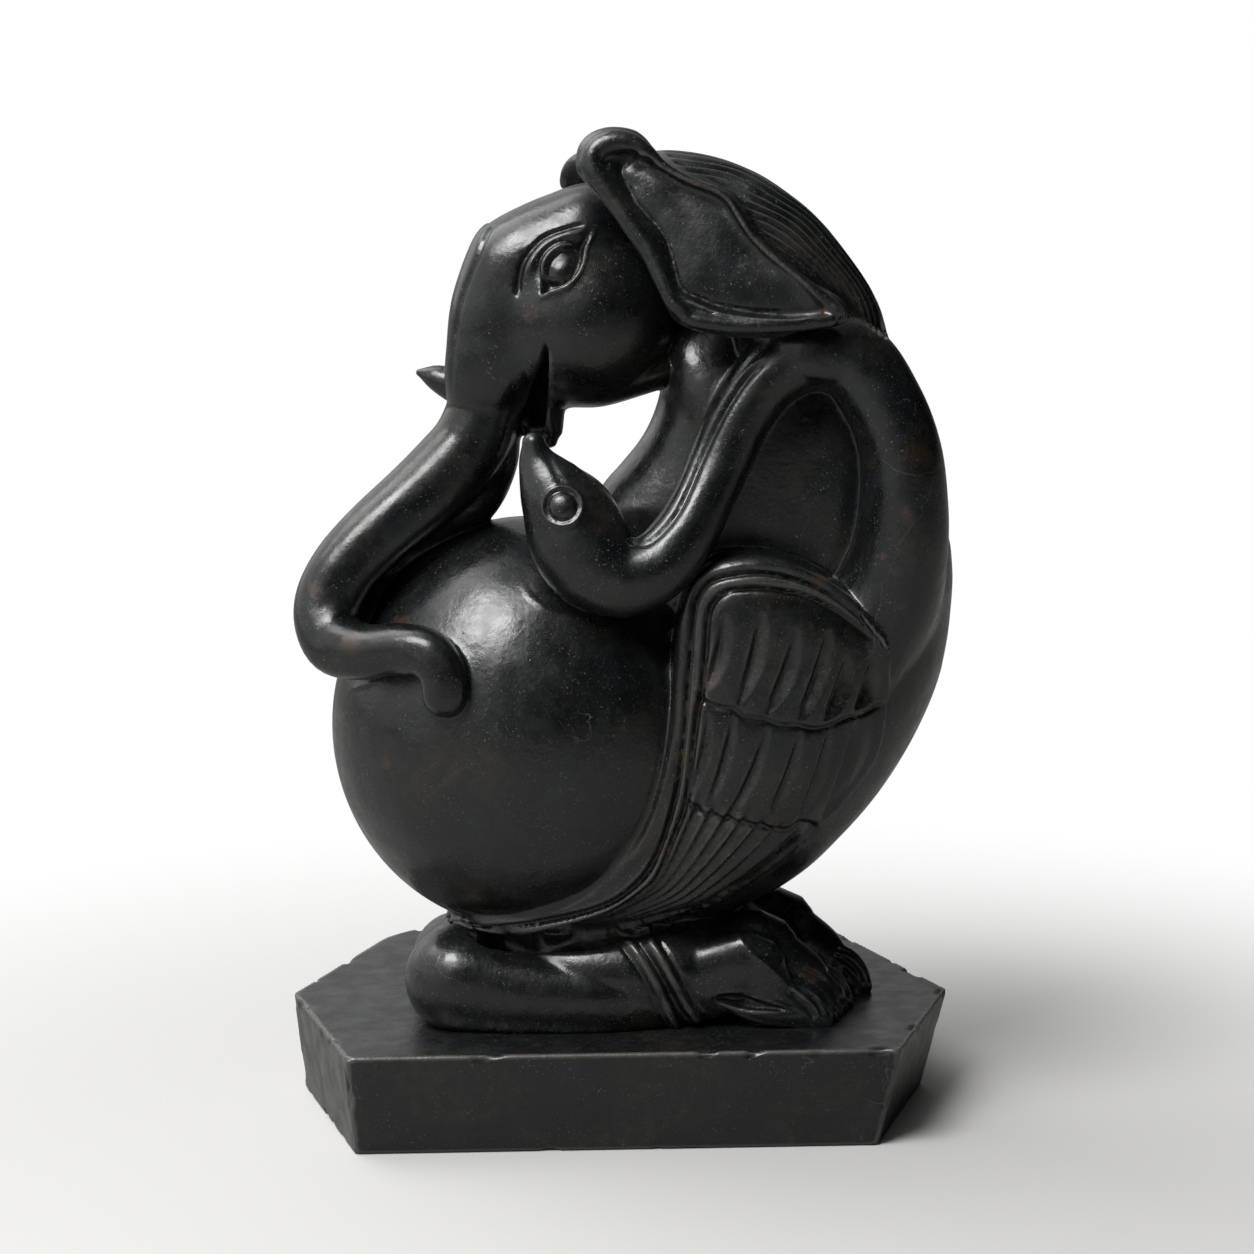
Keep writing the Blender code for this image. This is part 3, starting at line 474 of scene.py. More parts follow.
def carve_hair(stone):
    """Cuts the strands on the whole half of the head, over the crown and round the back as well."""
    crown = even_path(HAIR[:13], 90)
    low, high = np.min(crown, axis=0) - 3, np.max(crown, axis=0) + 3
    picked = np.flatnonzero((stone.depth < 0) & ((stone.drawn > low) & (stone.drawn < high)).all(axis=1))
    gap, _, share = to_path(stone.drawn[picked], crown)
    hair = inside(stone.drawn[picked], smooth_path(HAIR, closed=True)) | ((gap < 3) & (share < 0.97))
    picked, gap, share = picked[hair], gap[hair], share[hair]
    spots = stone.drawn[picked]
    edge, over, _ = to_path(spots, smooth_path(HAIR_EDGE))
    closing = 1 + NAPE_CLOSING * ease((share - 0.35) / 0.5)
    run = gap * closing + np.abs(stone.depth[picked]) * STRAND_LEAN
    run = run + 0.5 * np.sin(share * 23 + run * 0.15)  # the strands waver a little
    valley = 1 - np.abs(np.sin(run / STRAND * math.pi))
    stone.raise_by[picked] -= np.where(over > 0, STRAND_DEPTH * valley * ease((edge - 1.0) / 1.5), 0)


forms.append(pillow(HAIR, HAIR_MIDDLE, square=2.4))


# Swan
# The bird's neck comes over the shoulder from the back and its head rests on the belly, with the
# beak raised to the mouth. The same arched form makes the far shoulder.

SWAN_HEAD = [
    (-27.5, -35, 179.6, 3.4, 3.6),
    (-26.4, -35, 174.5, 5.8, 5.4),
    (-22.6, -36, 167.2, 10.0, 9),
    (-17.6, -37, 158.9, 13.8, 11.5),
    (-11.8, -39, 147.0, 14.6, 12.5),
    (-2.0, -41, 140.8, 12.2, 11),
]
SWAN_NECK = [
    (7.7, -41, 143.5, 10.5, 10.5),
    (15.8, -38.5, 151.7, 9.6, 10),
    (22.3, -34.5, 162.5, 9.0, 9.5),
    (27.9, -30.5, 173.9, 9.3, 9.5),
    (34.0, -27.5, 186.9, 9.7, 9.8),
    (42.8, -25.5, 198.2, 10.5, 10.5),
]
SWAN_BACK = [
    (54.8, -25, 204.4, 11.7, 12),
    (67.1, -25.5, 201.7, 12.0, 13),
    (76.4, -26, 188.4, 11.8, 14),
    (81.4, -26, 174.5, 12.1, 15),
    (82.7, -26, 159.7, 12.9, 16),
    (82.0, -24, 144.9, 14.4, 18),
    (78.0, -20, 129.8, 17.0, 20),
    (68.0, -16, 110.0, 18.0, 22),
    (58.0, -12, 92.0, 16.0, 20),
]
SPINE_HALF = 38  # half-width of the broad back behind the necks
SWAN_EYE = (-17.9, 154.6)
SWAN_EYE_RADIUS = 4.3
SWAN_CERE = [(-23.0, 172.0), (-20.9, 167.1), (-18.5, 162.5), (-16.7, 159.8)]
BEAK_EDGE = [(-23.0, 174.1), (-19.4, 172.0), (-15.5, 168.0), (-11.6, 164.0), (-7.4, 160.6)]
NECK_FOLD = [
    (0.1, 148.9), (2.6, 144.6), (7.1, 143.3), (12.2, 147.0), (17.6, 154.3), (22.7, 166.1), (27.2, 176.1),
    (32.0, 185.2), (38.5, 194.2), (46.0, 200.2),
]


def mirrored(stations):
    """The same stations on the far side."""
    return [(x, -y, *rest) for x, y, *rest in stations]


def carve_swan(stone):
    """Cuts the eye in its rings, the edges of the beak and the fold along the neck."""
    picked = stone.near([SWAN_EYE], 3 * SWAN_EYE_RADIUS)
    radius = np.hypot(*(stone.drawn[picked] - SWAN_EYE).T) / SWAN_EYE_RADIUS
    stone.cut[picked] += dome(radius, 1.5) - rounded_ring(radius, 1.06, 0.09, 0.7)
    stone.cut[picked] += rounded_ring(radius, 1.38, 0.13, 0.7) - rounded_ring(radius, 0.84, 0.05, 0.25)
    stone.line(SWAN_CERE, width=0.8, height=-0.35, taper=0.3)
    stone.line(BEAK_EDGE, width=0.9, height=0.5, taper=0.3)
    stone.line(NECK_FOLD, width=1.1, height=-1.6, taper=0.15)


forms.append(limb(SWAN_HEAD + SWAN_NECK + SWAN_BACK))
forms.append(limb(mirrored(SWAN_NECK + SWAN_BACK)))
broad_back = [(x, 0, z, flat, SPINE_HALF) for x, _, z, flat, _ in SWAN_BACK]
forms.append(limb(broad_back, square=3.0))


# Wings
# A double roll runs round the shoulder of the wing and down to its tip. Inside it lie two rows of
# short feathers, parted by leaf-shaped cuts, and a third of long ones that flow to the tip.

WING_RIM = [
    (-54.3, 25.8), (-37.4, 26.5), (-23.6, 29.5), (-11.3, 34.4), (-1.1, 42.9), (6.3, 53.5), (11.1, 67.1),
    (14.2, 82.7), (15.7, 99.9), (17.1, 117.0), (20.7, 129.3), (27.4, 136.4), (37.4, 139.0), (48.0, 138.0),
    (60.2, 133.0), (71.9, 124.2), (79.9, 114.1),
]
WING_GROOVE = [
    (-52.2, 25.1), (-46.7, 24.1), (-34.4, 23.6), (-22.1, 25.0), (-9.7, 27.7), (-0.5, 31.7), (7.2, 38.6),
    (11.8, 46.8), (15.5, 58.2), (17.8, 68.0), (18.9, 77.0), (20.0, 88.0), (20.5, 96.8), (21.3, 106.7),
    (22.0, 116.3), (23.2, 125.0), (26.5, 130.0), (32.6, 132.3), (42.1, 133.1), (51.7, 131.3),
    (61.5, 127.1), (71.0, 120.1), (78.8, 111.7),
]
WING_FIELD = [
    (-49.8, 22.5), (-40.5, 21.1), (-28.2, 20.9), (-15.9, 23.0), (-3.6, 27.0), (5.7, 32.9), (11.2, 38.3),
    (15.5, 49.6), (19.0, 59.5), (20.8, 69.5), (22.1, 82.0), (23.0, 90.5), (24.5, 96.7), (25.4, 106.7),
    (26.0, 116.3), (27.1, 123.1), (31.4, 127.5), (38.7, 128.7), (46.9, 128.1), (56.6, 125.9),
    (66.3, 120.8), (76.0, 113.3), (80.3, 110.7),
]
WING_BACK = [
    (82.2, 103.8), (81.8, 91.3), (78.6, 75.6), (70.2, 63.1), (61.0, 53.7), (51.9, 44.3), (39.6, 34.9),
]
WING_LOW = [(25.7, 26.5), (8.8, 20.4), (-6.7, 16.8), (-22.1, 16.7), (-37.5, 18.5), (-51.3, 22.6)]
WING_SPINE = [
    (46.0, 108.0, -32, 15), (44.0, 92.5, -32.5, 15), (38.0, 76.0, -32.5, 15), (27.0, 56.0, -31, 14.5),
    (7.0, 36.5, -28, 13), (-18.0, 24.0, -24, 10.5), (-37.5, 22.3, -20, 8.5), (-49.0, 24.0, -18, 6.5),
]  # x, z, y of the middle and half-thickness, from the shoulder to the tip
WING_FRONT = -40  # y of the wing's outline
WING_BEND = 0.006  # how the wing turns back to the body towards its rear edge
ROW_MIDDLE = [
    (22.8, 97.4), (25.4, 93.6), (30.0, 91.6), (34.6, 91.0), (37.7, 88.4), (43.8, 87.7), (48.4, 85.8),
    (54.6, 85.4), (59.2, 84.4), (63.8, 85.3), (69.9, 88.0), (74.5, 89.2), (80.2, 92.9),
]
ROW_LOW = [
    (20.4, 62.2), (24.1, 58.4), (27.1, 57.4), (33.9, 55.7), (37.9, 54.7), (44.1, 53.6), (48.7, 52.3),
    (52.4, 52.9), (54.8, 54.8), (60.4, 54.0),
]
UPPER_CUTS = [
    ((31.4, 120.9), (25.4, 96.7)), ((42.7, 121.4), (35.2, 91.9)), ((53.7, 115.1), (43.8, 88.6)),
    ((63.4, 115.6), (53.6, 86.3)), ((69.0, 107.1), (62.2, 86.9)), ((76.7, 105.5), (71.4, 89.2)),
]
LOWER_CUTS = [
    ((26.4, 89.8), (20.4, 62.2)), ((34.6, 89.7), (25.6, 58.3)), ((45.4, 85.8), (31.8, 54.1)),
    ((55.5, 84.4), (45.0, 56.2)), ((64.7, 85.3), (54.2, 55.4)), ((72.9, 87.3), (61.0, 54.7)),
]
LONG_CUTS = 7
VIEWPOINT = np.array([-59.0, -1154.0, 362.0])  # the relief is drawn on the middle plane, seen from here
RIM_RISE = 2.0  # how far the double roll stands out from the feathers
EDGE_RISE = 1.2  # and its plain rear edge from the body
ROW_STEP = 0.9  # from each row of feathers down to the next


def feather_cut(stone, rows, width, depth, swell=True):
    """A chip between two feathers: a steep wall on one side and a long slope on the other."""
    path = smooth_path(rows, steps=5)
    picked = stone.near(path, width + 1)
    gap, side, share = to_path(stone.drawn[picked], path)
    ends = ease(np.minimum(share, 1 - share) / 0.1)
    full = np.sin(np.clip(share, 0, 1) * math.pi) ** 0.6 if swell else ends
    reach = np.where(side > 0, width, width * 0.3) * (0.2 + 0.8 * full)
    stone.cut[picked] -= depth * full * np.clip(1 - gap / reach, 0, 1)
    stone.pits[picked] = np.maximum(stone.pits[picked], full * np.clip(1.2 - gap / reach, 0, 1))


def bowed(top, end, bow=0.03):
    """Three points of a cut that bows a little to one side."""
    top, end = np.array(top), np.array(end)
    way = end - top
    return [top, (top + end) / 2 + np.array([-way[1], way[0]]) * bow, end]


def carve_wing(stone):
    """Raises the double roll, steps the rows down one behind another and parts the feathers."""
    outline = smooth_path(WING_RIM + WING_BACK + WING_LOW, closed=True)
    picked = stone.near(outline, 1)
    picked = picked[inside(stone.drawn[picked], outline)]
    spots = stone.drawn[picked]
    rim, _, _ = to_path(spots, smooth_path(WING_RIM))
    groove, outer, _ = to_path(spots, smooth_path(WING_GROOVE))
    field, inner, _ = to_path(spots, smooth_path(WING_FIELD))
    rolls = np.where(outer > 0, RIM_RISE * np.sqrt(ease(rim / 2.2) * ease(groove / 2.2)), 0)
    second = (outer <= 0) & (inner > 0)
    rolls += np.where(second, RIM_RISE * 0.7 * np.sqrt(ease(groove / 1.3) * ease(field / 1.3)), 0)
    back_edge, _, _ = to_path(spots, smooth_path(WING_BACK + WING_LOW))
    stone.cut[picked] += rolls + EDGE_RISE * ease(back_edge / 0.6) * np.exp(-back_edge / 6)
    for row in (ROW_MIDDLE, ROW_LOW):
        gap, below, _ = to_path(spots, smooth_path(row))
        under = (inner <= 0) & (below < 0)
        stone.cut[picked] -= np.where(under, ROW_STEP * ease(gap / 0.5) * np.exp(-gap / 12), 0)
        stone.line(row, width=0.7, height=-1.2, taper=0.03)
    stone.line(WING_GROOVE, width=0.6, height=-1.3)
    stone.line(WING_FIELD, width=0.7, height=-1.5)
    for top, end in UPPER_CUTS:
        feather_cut(stone, bowed(top, end), width=4.4, depth=2.3)
    for top, end in LOWER_CUTS:
        feather_cut(stone, bowed(top, end), width=3.0, depth=2.0)
    front = even_path(WING_FIELD[9::-1], 12)
    rear = even_path(WING_BACK[4:] + WING_LOW, 12)
    for share in np.linspace(0.1, 0.9, LONG_CUTS):
        feather_cut(stone, front * (1 - share) + rear * share, width=3.6, depth=1.8, swell=False)


def at_depth(rows, y):
    """Where drawn places lie on a plane nearer than the middle one."""
    rows = np.array(rows, float)
    rows[:, :2] += (VIEWPOINT[::2] - rows[:, :2]) * y / VIEWPOINT[1]
    return rows


outline = at_depth(WING_RIM + WING_BACK + WING_LOW, WING_FRONT)
spine = at_depth(WING_SPINE, WING_FRONT)
forms.append(pillow(outline, spine, square=3.0, bend=WING_BEND, around=320))
forms.append(pillow(outline, spine * (1, 1, -1, 1), square=3.0, bend=-WING_BEND, around=320))


# Legs and feet
# The figure kneels: one folded leg lies along each side, the near one with an anklet of two
# bands, and each foot is turned out behind with its toes spread on the plinth.

LEG = [
    (-50.0, -20, 12.5, 16.0, 18),
    (-31.9, -20, 9.5, 14.6, 19),
    (-7.7, -20, 8.0, 13.4, 19),
    (16.7, -19, 9.4, 11.6, 17),
]
FAR_LEG_Y = 12  # middle of the far leg, which lies a little lower and is slimmer than the near one
FAR_LEG_DROP = 3.5
FAR_LEG_SLIMMER = (1.5, 3.0)
FOOT_INNER = [
    (26.0, -18, 14.0, 12.0, 9),
    (39.6, -18, 20.5, 11.6, 8),
    (44.2, -18, 16.3, 11.0, 8),
    (51.9, -18, 11.0, 9.9, 8),
    (56.5, -18, 7.0, 8.8, 8),
    (61.0, -18, 4.0, 7.0, 7),
]
FOOT_OUTER = [
    (18.0, -29, 11.0, 11.0, 7),
    (26.0, -29, 14.0, 12.0, 7),
    (36.8, -29, 18.2, 10.5, 7),
    (40.0, -29, 14.5, 9.5, 7),
    (44.5, -29, 8.4, 7.7, 7),
    (52.1, -29, 2.5, 5.7, 7),
    (57.0, -29, 0.0, 4.0, 6),
]
SOLE = [
    (29.1, -32, 8.5, 2.0, 4),
    (33.7, -31, 6.4, 3.2, 5),
    (41.6, -31, 4.0, 3.8, 6),
    (52.3, -31, 2.6, 3.8, 5),
    (59.5, -30, 2.6, 3.2, 4),
]
LITTLE_TOE = [
    (49.0, -33, 8.3, 5.0, 2.7),
    (54.5, -33, 5.5, 5.0, 2.7),
    (58.0, -33, 1.5, 4.5, 2.7),
    (59.5, -33, -1.0, 3.5, 2.5),
]
BIG_TOE = [
    (55.5, -14.8, 10.5, 5.0, 3.0),
    (61.5, -14.8, 8.5, 5.0, 3.0),
    (65.5, -14.8, 4.0, 4.5, 3.0),
    (67.3, -14.8, 0.5, 3.5, 2.7),
]
TOES = 5
FAR_FOOT = (7.5, -14.0, 1.0)  # how far the far foot is set on from the mirrored near one
ANKLET = [
    [(1.6, 17.9), (5.7, 12.1), (10.3, 4.3), (14.4, -4.8), (16.9, -9.4)],
    [(9.1, 16.8), (12.5, 11.3), (16.8, 3.2), (21.2, -5.0), (23.4, -7.6)],
]
FOOT_CREST = [(34.4, 22.2), (38.2, 15.7), (43.1, 11.1), (48.5, 5.9), (53.8, 0.3), (59.1, -4.9)]
SOLE_TOP = [(28.0, -1.2), (31.1, 0.1), (36.7, 0.3), (42.9, -1.8), (49.2, -3.8), (56.0, -6.5)]
SOLE_LOW = [(28.0, -1.2), (33.0, -3.9), (39.8, -5.6), (47.6, -6.0), (56.0, -6.8)]
TOE_FIRST = [(56.2, 8.0), (62.1, 4.7), (66.6, 0.1), (69.1, -5.1)]  # the outermost groove between toes
TOE_LAST = [(52.2, 0.4), (55.7, -2.6), (58.5, -5.6), (60.1, -8.8)]
FAR_TOE_FIRST = [(67.0, 14.3), (72.0, 12.3), (75.8, 8.4), (77.7, 3.2)]
FAR_TOE_LAST = [(64.0, 7.9), (67.1, 5.0), (70.0, 1.7), (70.9, -1.2)]


def moved(stations, dx, dy, dz):
    """The same stations further on."""
    return [(x + dx, y + dy, z + dz, *rest) for x, y, z, *rest in stations]


def between(first, last, count):
    """Rows spaced evenly from the first to the last."""
    first, last = np.array(first), np.array(last)
    return [first + (last - first) * share for share in np.linspace(0, 1, count)]


def carve_feet(stone):
    """Cuts the anklet, the crest and sole of the foot, and the grooves between the toes."""
    for band in ANKLET:
        stone.line(band, width=1.5, height=1.5, taper=0)
        for shift in (-2.9, 2.9):
            stone.line([(x + shift, z) for x, z in band], width=0.6, height=-0.9, taper=0)
    stone.line(FOOT_CREST, width=0.9, height=0.6)
    hollow = np.vstack([smooth_path(SOLE_TOP), smooth_path(SOLE_LOW)[::-1]])
    picked = stone.near(hollow, 1)
    picked = picked[inside(stone.drawn[picked], hollow)]
    rim, _, _ = to_path(stone.drawn[picked], np.vstack([hollow, hollow[:1]]))
    stone.cut[picked] -= 1.6 * ease(rim / 1.2)
    for edge in (SOLE_TOP, SOLE_LOW):
        stone.line(edge, width=0.5, height=0.5)
    for first, last in ((TOE_FIRST, TOE_LAST), (FAR_TOE_FIRST, FAR_TOE_LAST)):
        for groove in between(first, last, TOES - 1):
            stone.line(groove, width=0.6, height=-1.2, taper=0.1)


thinner, narrower = FAR_LEG_SLIMMER
far_leg = [
    (x, FAR_LEG_Y, z - FAR_LEG_DROP, flat - thinner, deep - narrower) for x, _, z, flat, deep in LEG
]
forms.append(limb(LEG, square=2.6))
forms.append(limb(far_leg, square=2.6))
for stations in (FOOT_INNER, FOOT_OUTER, SOLE, *between(LITTLE_TOE, BIG_TOE, TOES)):
    forms.append(limb(stations, square=2.4))
    forms.append(limb(moved(mirrored(stations), *FAR_FOOT), square=2.4))


# The figure
# All the forms run together in one stone. Its inner corners are left slightly round, as a rasp
# leaves them, and the finer carving is cut into both sides.

PLINTH_TOP = 0.031  # metres
FIGURE_BACK = -0.0125  # the middle plane's place in Y, metres
FIGURE_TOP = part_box("ganesha_statue")[1].z
DRAWN_HEIGHT = 270.95  # the figure's, in the drawing's millimetres
MM = (FIGURE_TOP - PLINTH_TOP) / DRAWN_HEIGHT
SINK = 3.0  # how far the figure runs down into the plinth
GRAIN = 0.5  # spacing of the points that the stone is carved with
FIGURE_TRIANGLES = 195_000
FILLET = 1.4  # how far the inner corners are rounded
SOFT_JOINS = [((-17, 0, 214), 31), ((97, 0, 138), 34)]  # balls at head and back: the forms run together
SOFT_JOIN_ROUNDS = 14  # rounds of smoothing there, for each one that the inner corners get
SHOW_CELL, SHOW_SLACK = 2.0, 3.0  # in each cell of the view, what lies little behind the front shows
SHOW_TURN = 0.10  # and only where it faces the viewer by this much
SHOW_REACH = 30  # nothing further behind the middle plane than this is carved from a side
STAINS = [
    ((22.0, 92.0), 5), ((19.5, 76.0), 5), ((18.0, 62.0), 5), ((13.0, 47.0), 6), ((49.0, 54.0), 7),
    ((36.0, 52.0), 5), ((-82.0, 113.0), 8), ((61.0, 213.5), 4), ((90.0, 170.0), 9), ((86.0, 150.0), 6),
    ((26.0, 128.0), 5), ((60.0, 130.0), 5), ((-27.0, 213.0), 6),
]  # middle and radius of each rusty patch in the stone


class Stone:
    """A dense mesh held as arrays, smoothed and carved by moving its points."""

    def __init__(self, mesh):
        self.mesh = mesh
        self.count = len(mesh.vertices)
        self.points = self.read(mesh.vertices, "co", 3)
        ends = np.empty(len(mesh.edges) * 2, np.int32)
        mesh.edges.foreach_get("vertices", ends)
        self.ends = ends.reshape(-1, 2).T
        self.links = np.bincount(self.ends.ravel(), minlength=self.count)
        self.raise_by = np.zeros(self.count)
        self.pits = np.zeros(self.count)
        self.stain = np.zeros(self.count)
        self.face_out()

    def read(self, items, name, width):
        values = np.empty(len(items) * width, np.float32)
        items.foreach_get(name, values)
        return values.reshape(-1, width).astype(float)

    def write(self):
        self.mesh.vertices.foreach_set("co", self.points.astype(np.float32).ravel())
        self.mesh.update()

    def face_out(self):
        """Reads the normals afresh after the points have moved."""
        self.write()
        self.normals = self.read(self.mesh.vertex_normals, "vector", 3)

    def mean(self, values):
        """Each point's values averaged over its neighbours."""
        a, b = self.ends
        columns = values.reshape(self.count, -1).T
        total = [np.bincount(a, c[b], self.count) + np.bincount(b, c[a], self.count) for c in columns]
        return (np.stack(total, axis=1) / self.links[:, None]).reshape(values.shape)

    def smooth(self, rounds):
        """Evens out the points without shrinking the form."""
        for step in (0.5, -0.53) * rounds:
            self.points += step * (self.mean(self.points) - self.points)

    def run_together(self, middle, radius, rounds):
        """Lets the points inside a ball sink towards their neighbours."""
        weight = ease((radius - np.linalg.norm(self.points - middle, axis=1)) / 4)
        held = self.ends[:, (weight[self.ends] > 0).any(axis=0)]
        spots, ends = np.unique(held, return_inverse=True)
        a, b = ends.reshape(2, -1)
        points, weight = self.points[spots], weight[spots, None] * 0.5
        links = np.bincount(ends.ravel())[:, None]
        for _ in range(rounds):
            total = [np.bincount(a, c[b], len(c)) + np.bincount(b, c[a], len(c)) for c in points.T]
            points = points + weight * (np.stack(total, axis=1) / links - points)
        self.points[spots] = points

    def fill_hollows(self, rounds):
        """Rounds the inner corners where one form meets the next, and leaves the rest."""
        for step in range(rounds):
            if step % 4 == 0:
                self.face_out()
            out = ((self.mean(self.points) - self.points) * self.normals).sum(axis=1)
            self.points += self.normals * np.clip(out, 0, None)[:, None]

    def face(self, side):
        """Turns to one side, -1 the front and 1 the back, and finds what shows from there."""
        self.side = side
        x, y, z = self.points.T * np.array([[1], [-side], [1]])
        reach = -VIEWPOINT[1] / (y - VIEWPOINT[1])
        self.drawn = np.stack([
            VIEWPOINT[0] + (x - VIEWPOINT[0]) * reach,
            VIEWPOINT[2] + (z - VIEWPOINT[2]) * reach,
        ], axis=1)
        self.depth = y
        outward = self.normals[:, 1] * side
        cell = np.rint(self.drawn / SHOW_CELL).astype(int)
        cell -= cell.min(axis=0)
        cell = cell[:, 0] * (cell[:, 1].max() + 1) + cell[:, 1]
        front = np.full(cell.max() + 1, np.inf)
        np.minimum.at(front, cell, y)
        slack = SHOW_SLACK + SHOW_CELL / np.clip(outward, 0.12, 1)
        shows = (outward > SHOW_TURN) & (y < front[cell] + slack) & (y < SHOW_REACH)
        self.shows = ease(self.mean(self.mean(shows.astype(float))) * 1.6 - 0.3)
        self.cut = np.zeros(self.count)

    def near(self, path, margin):
        """The points that show within a margin of the path's box."""
        low, high = np.min(path, axis=0) - margin, np.max(path, axis=0) + margin
        inner = ((self.drawn > low) & (self.drawn < high)).all(axis=1)
        return np.flatnonzero((self.shows > 0) & inner)

    def line(self, rows, width, height, taper=0.12):
        """A rounded line along the path: a groove where height is negative, else a ridge."""
        path = smooth_path(rows, steps=5)
        picked = self.near(path, width * 3)
        gap, _, share = to_path(self.drawn[picked], path)
        ends = ease(np.minimum(share, 1 - share) / taper) if taper else 1.0
        self.cut[picked] += height * np.exp(-((gap / width) ** 2)) * ends

    def mark_stains(self):
        """Notes how rusty the stone is in each patch on this side."""
        for middle, radius in STAINS:
            picked = self.near([middle], radius)
            gap = np.linalg.norm(self.drawn[picked] - middle, axis=1) / radius
            self.stain[picked] = np.maximum(self.stain[picked], ease(1 - gap))

    def carve(self):
        """Cuts the relief on both sides; the swan's head, the anklet and the rust are on the near one."""
        self.face_out()
        for side in (-1, 1):
            self.face(side)
            if side < 0:
                carve_belly(self)
                carve_swan(self)
                carve_feet(self)
                self.mark_stains()
            carve_head(self)
            carve_eye(self)
            carve_ear(self)
            carve_hair(self)
            carve_wing(self)
            self.raise_by += self.cut * self.shows
        push = self.normals  # evened out, so that steep places don't fold over
        for _ in range(6):
            push = self.mean(push)
        push /= np.linalg.norm(push, axis=1)[:, None]
        self.points += push * self.mean(self.raise_by)[:, None]

    def keep(self, name, values):
        """Stores a value at each point for the material to read."""
        layer = self.mesh.attributes.new(name, "FLOAT", "POINT")
        layer.data.foreach_set("value", values.astype(np.float32))

    def bend(self):
        """How sharply the surface turns at each point: positive on edges, negative in hollows."""
        self.face_out()
        turn = self.mean(self.points) - self.points
        for _ in range(3):
            turn = self.mean(turn)
        return -(turn * self.normals).sum(axis=1) / GRAIN


def finished(obj):
    """The object's mesh with its modifiers worked in; the object itself goes."""
    graph = bpy.context.evaluated_depsgraph_get()
    mesh = bpy.data.meshes.new_from_object(obj.evaluated_get(graph))
    bpy.data.objects.remove(obj, do_unlink=True)
    return mesh


def new_object(name, data):
    """A new object in the scene, at the origin."""
    obj = bpy.data.objects.new(name, data)
    bpy.context.scene.collection.objects.link(obj)
    return obj


def merged(shapes, grain):
    """One dense closed mesh round all the shapes."""
    whole = bmesh.new()
    for shape in shapes:
        part = bpy.data.meshes.new("form")
        shape.to_mesh(part)
        shape.free()
        whole.from_mesh(part)
        bpy.data.meshes.remove(part)
    for vertex in whole.verts:
        vertex.co.z = max(vertex.co.z, -SINK)
    mesh = bpy.data.meshes.new("forms")
    whole.to_mesh(mesh)
    whole.free()
    rough = new_object("forms", mesh)
    remesh = rough.modifiers.new("merge", "REMESH")
    remesh.mode = "VOXEL"
    remesh.voxel_size = grain
    return finished(rough)


def thinned(mesh, triangles):
    """The same form with fewer triangles where it is plain."""
    thick = new_object("thick", mesh)
    thin = thick.modifiers.new("thin", "DECIMATE")
    thin.ratio = min(1.0, triangles / (2 * len(mesh.vertices)))
    thin.use_collapse_triangulate = True
    return finished(thick)


def piece(name, mesh):
    """The finished piece, smooth shaded, in place of the solid."""
    mesh.shade_smooth()
    mesh.materials.clear()
    obj = new_object(name, mesh)
    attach(obj, "root")
    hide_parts("ganesha_statue")
    return obj


stone = Stone(merged(forms, GRAIN))
stone.smooth(4)
rounds = (FILLET / GRAIN) ** 2
for middle, reach in SOFT_JOINS:
    stone.run_together(middle, reach, round(SOFT_JOIN_ROUNDS * rounds))
stone.fill_hollows(round(rounds))
stone.carve()
stone.smooth(2)
stone.keep("worn", stone.bend())
stone.keep("pits", stone.mean(stone.pits))
stone.keep("stain", stone.stain)
mesh = thinned(stone.mesh, FIGURE_TRIANGLES)
mesh.transform(Matrix.Translation((0, FIGURE_BACK, PLINTH_TOP)) @ Matrix.Scale(MM, 4))
figure = piece("statue_figure", mesh)


# Plinth
# The foot of the same block: a long hexagon, a little narrower below, with two corners rounded
# off at the back. Its edges are worn and nicked and its faces left flat.

PLINTH_LENGTH, PLINTH_DEPTH = 0.203, 0.139  # the plinth's own sizes are metres
PLINTH_BATTER, PLINTH_BATTER_Y = 0.0055, 0.0030  # how far the underside is drawn in
PLINTH_LEAN = -0.0022  # and shifted to the left
PLINTH_EDGE = 0.0007  # rounding of its edges
PLINTH_BACK_CORNER = 0.020  # and of the two back corners
PLINTH_CORNERS = [
    (-1.0, -0.06), (-0.83, -1.0), (0.79, -1.0), (1.0, -0.15), (0.66, 1.0), (-0.66, 1.0),
]  # as shares of half the length and half the depth
PLINTH_GRAIN = 0.0009
PLINTH_TRIANGLES = 70_000
NICK_SPACING, NICK_DEPTH = 6.5, 0.8  # drawn millimetres
NICK_LEAST = 0.20  # an edge is nicked where the noise passes this


def round_off(block, edges, width, segments):
    """Rounds some of the block's edges."""
    bmesh.ops.bevel(
        block, geom=edges, offset=width, affect="EDGES", segments=segments, profile=0.5, material=-1
    )


def plinth():
    """The hexagonal block under the figure, a little narrower at the bottom."""
    half_x, half_y = PLINTH_LENGTH / 2, PLINTH_DEPTH / 2
    block = bmesh.new()
    top = [block.verts.new((x * half_x, y * half_y, PLINTH_TOP)) for x, y in PLINTH_CORNERS]
    made = bmesh.ops.extrude_face_region(block, geom=[block.faces.new(top)])
    for vertex in (v for v in made["geom"] if isinstance(v, bmesh.types.BMVert)):
        vertex.co.x = vertex.co.x * (1 - PLINTH_BATTER / half_x) + PLINTH_LEAN
        vertex.co.y *= 1 - PLINTH_BATTER_Y / half_y
        vertex.co.z = 0
    bmesh.ops.recalc_face_normals(block, faces=block.faces)
    back = [e for e in block.edges if all(v.co.y > half_y * 0.9 for v in e.verts)
            and abs(e.verts[0].co.z - e.verts[1].co.z) > PLINTH_TOP / 2]
    round_off(block, back, PLINTH_BACK_CORNER, 10)
    round_off(block, [e for e in block.edges if e.calc_face_angle(0) > 0.5], PLINTH_EDGE, 3)
    return block


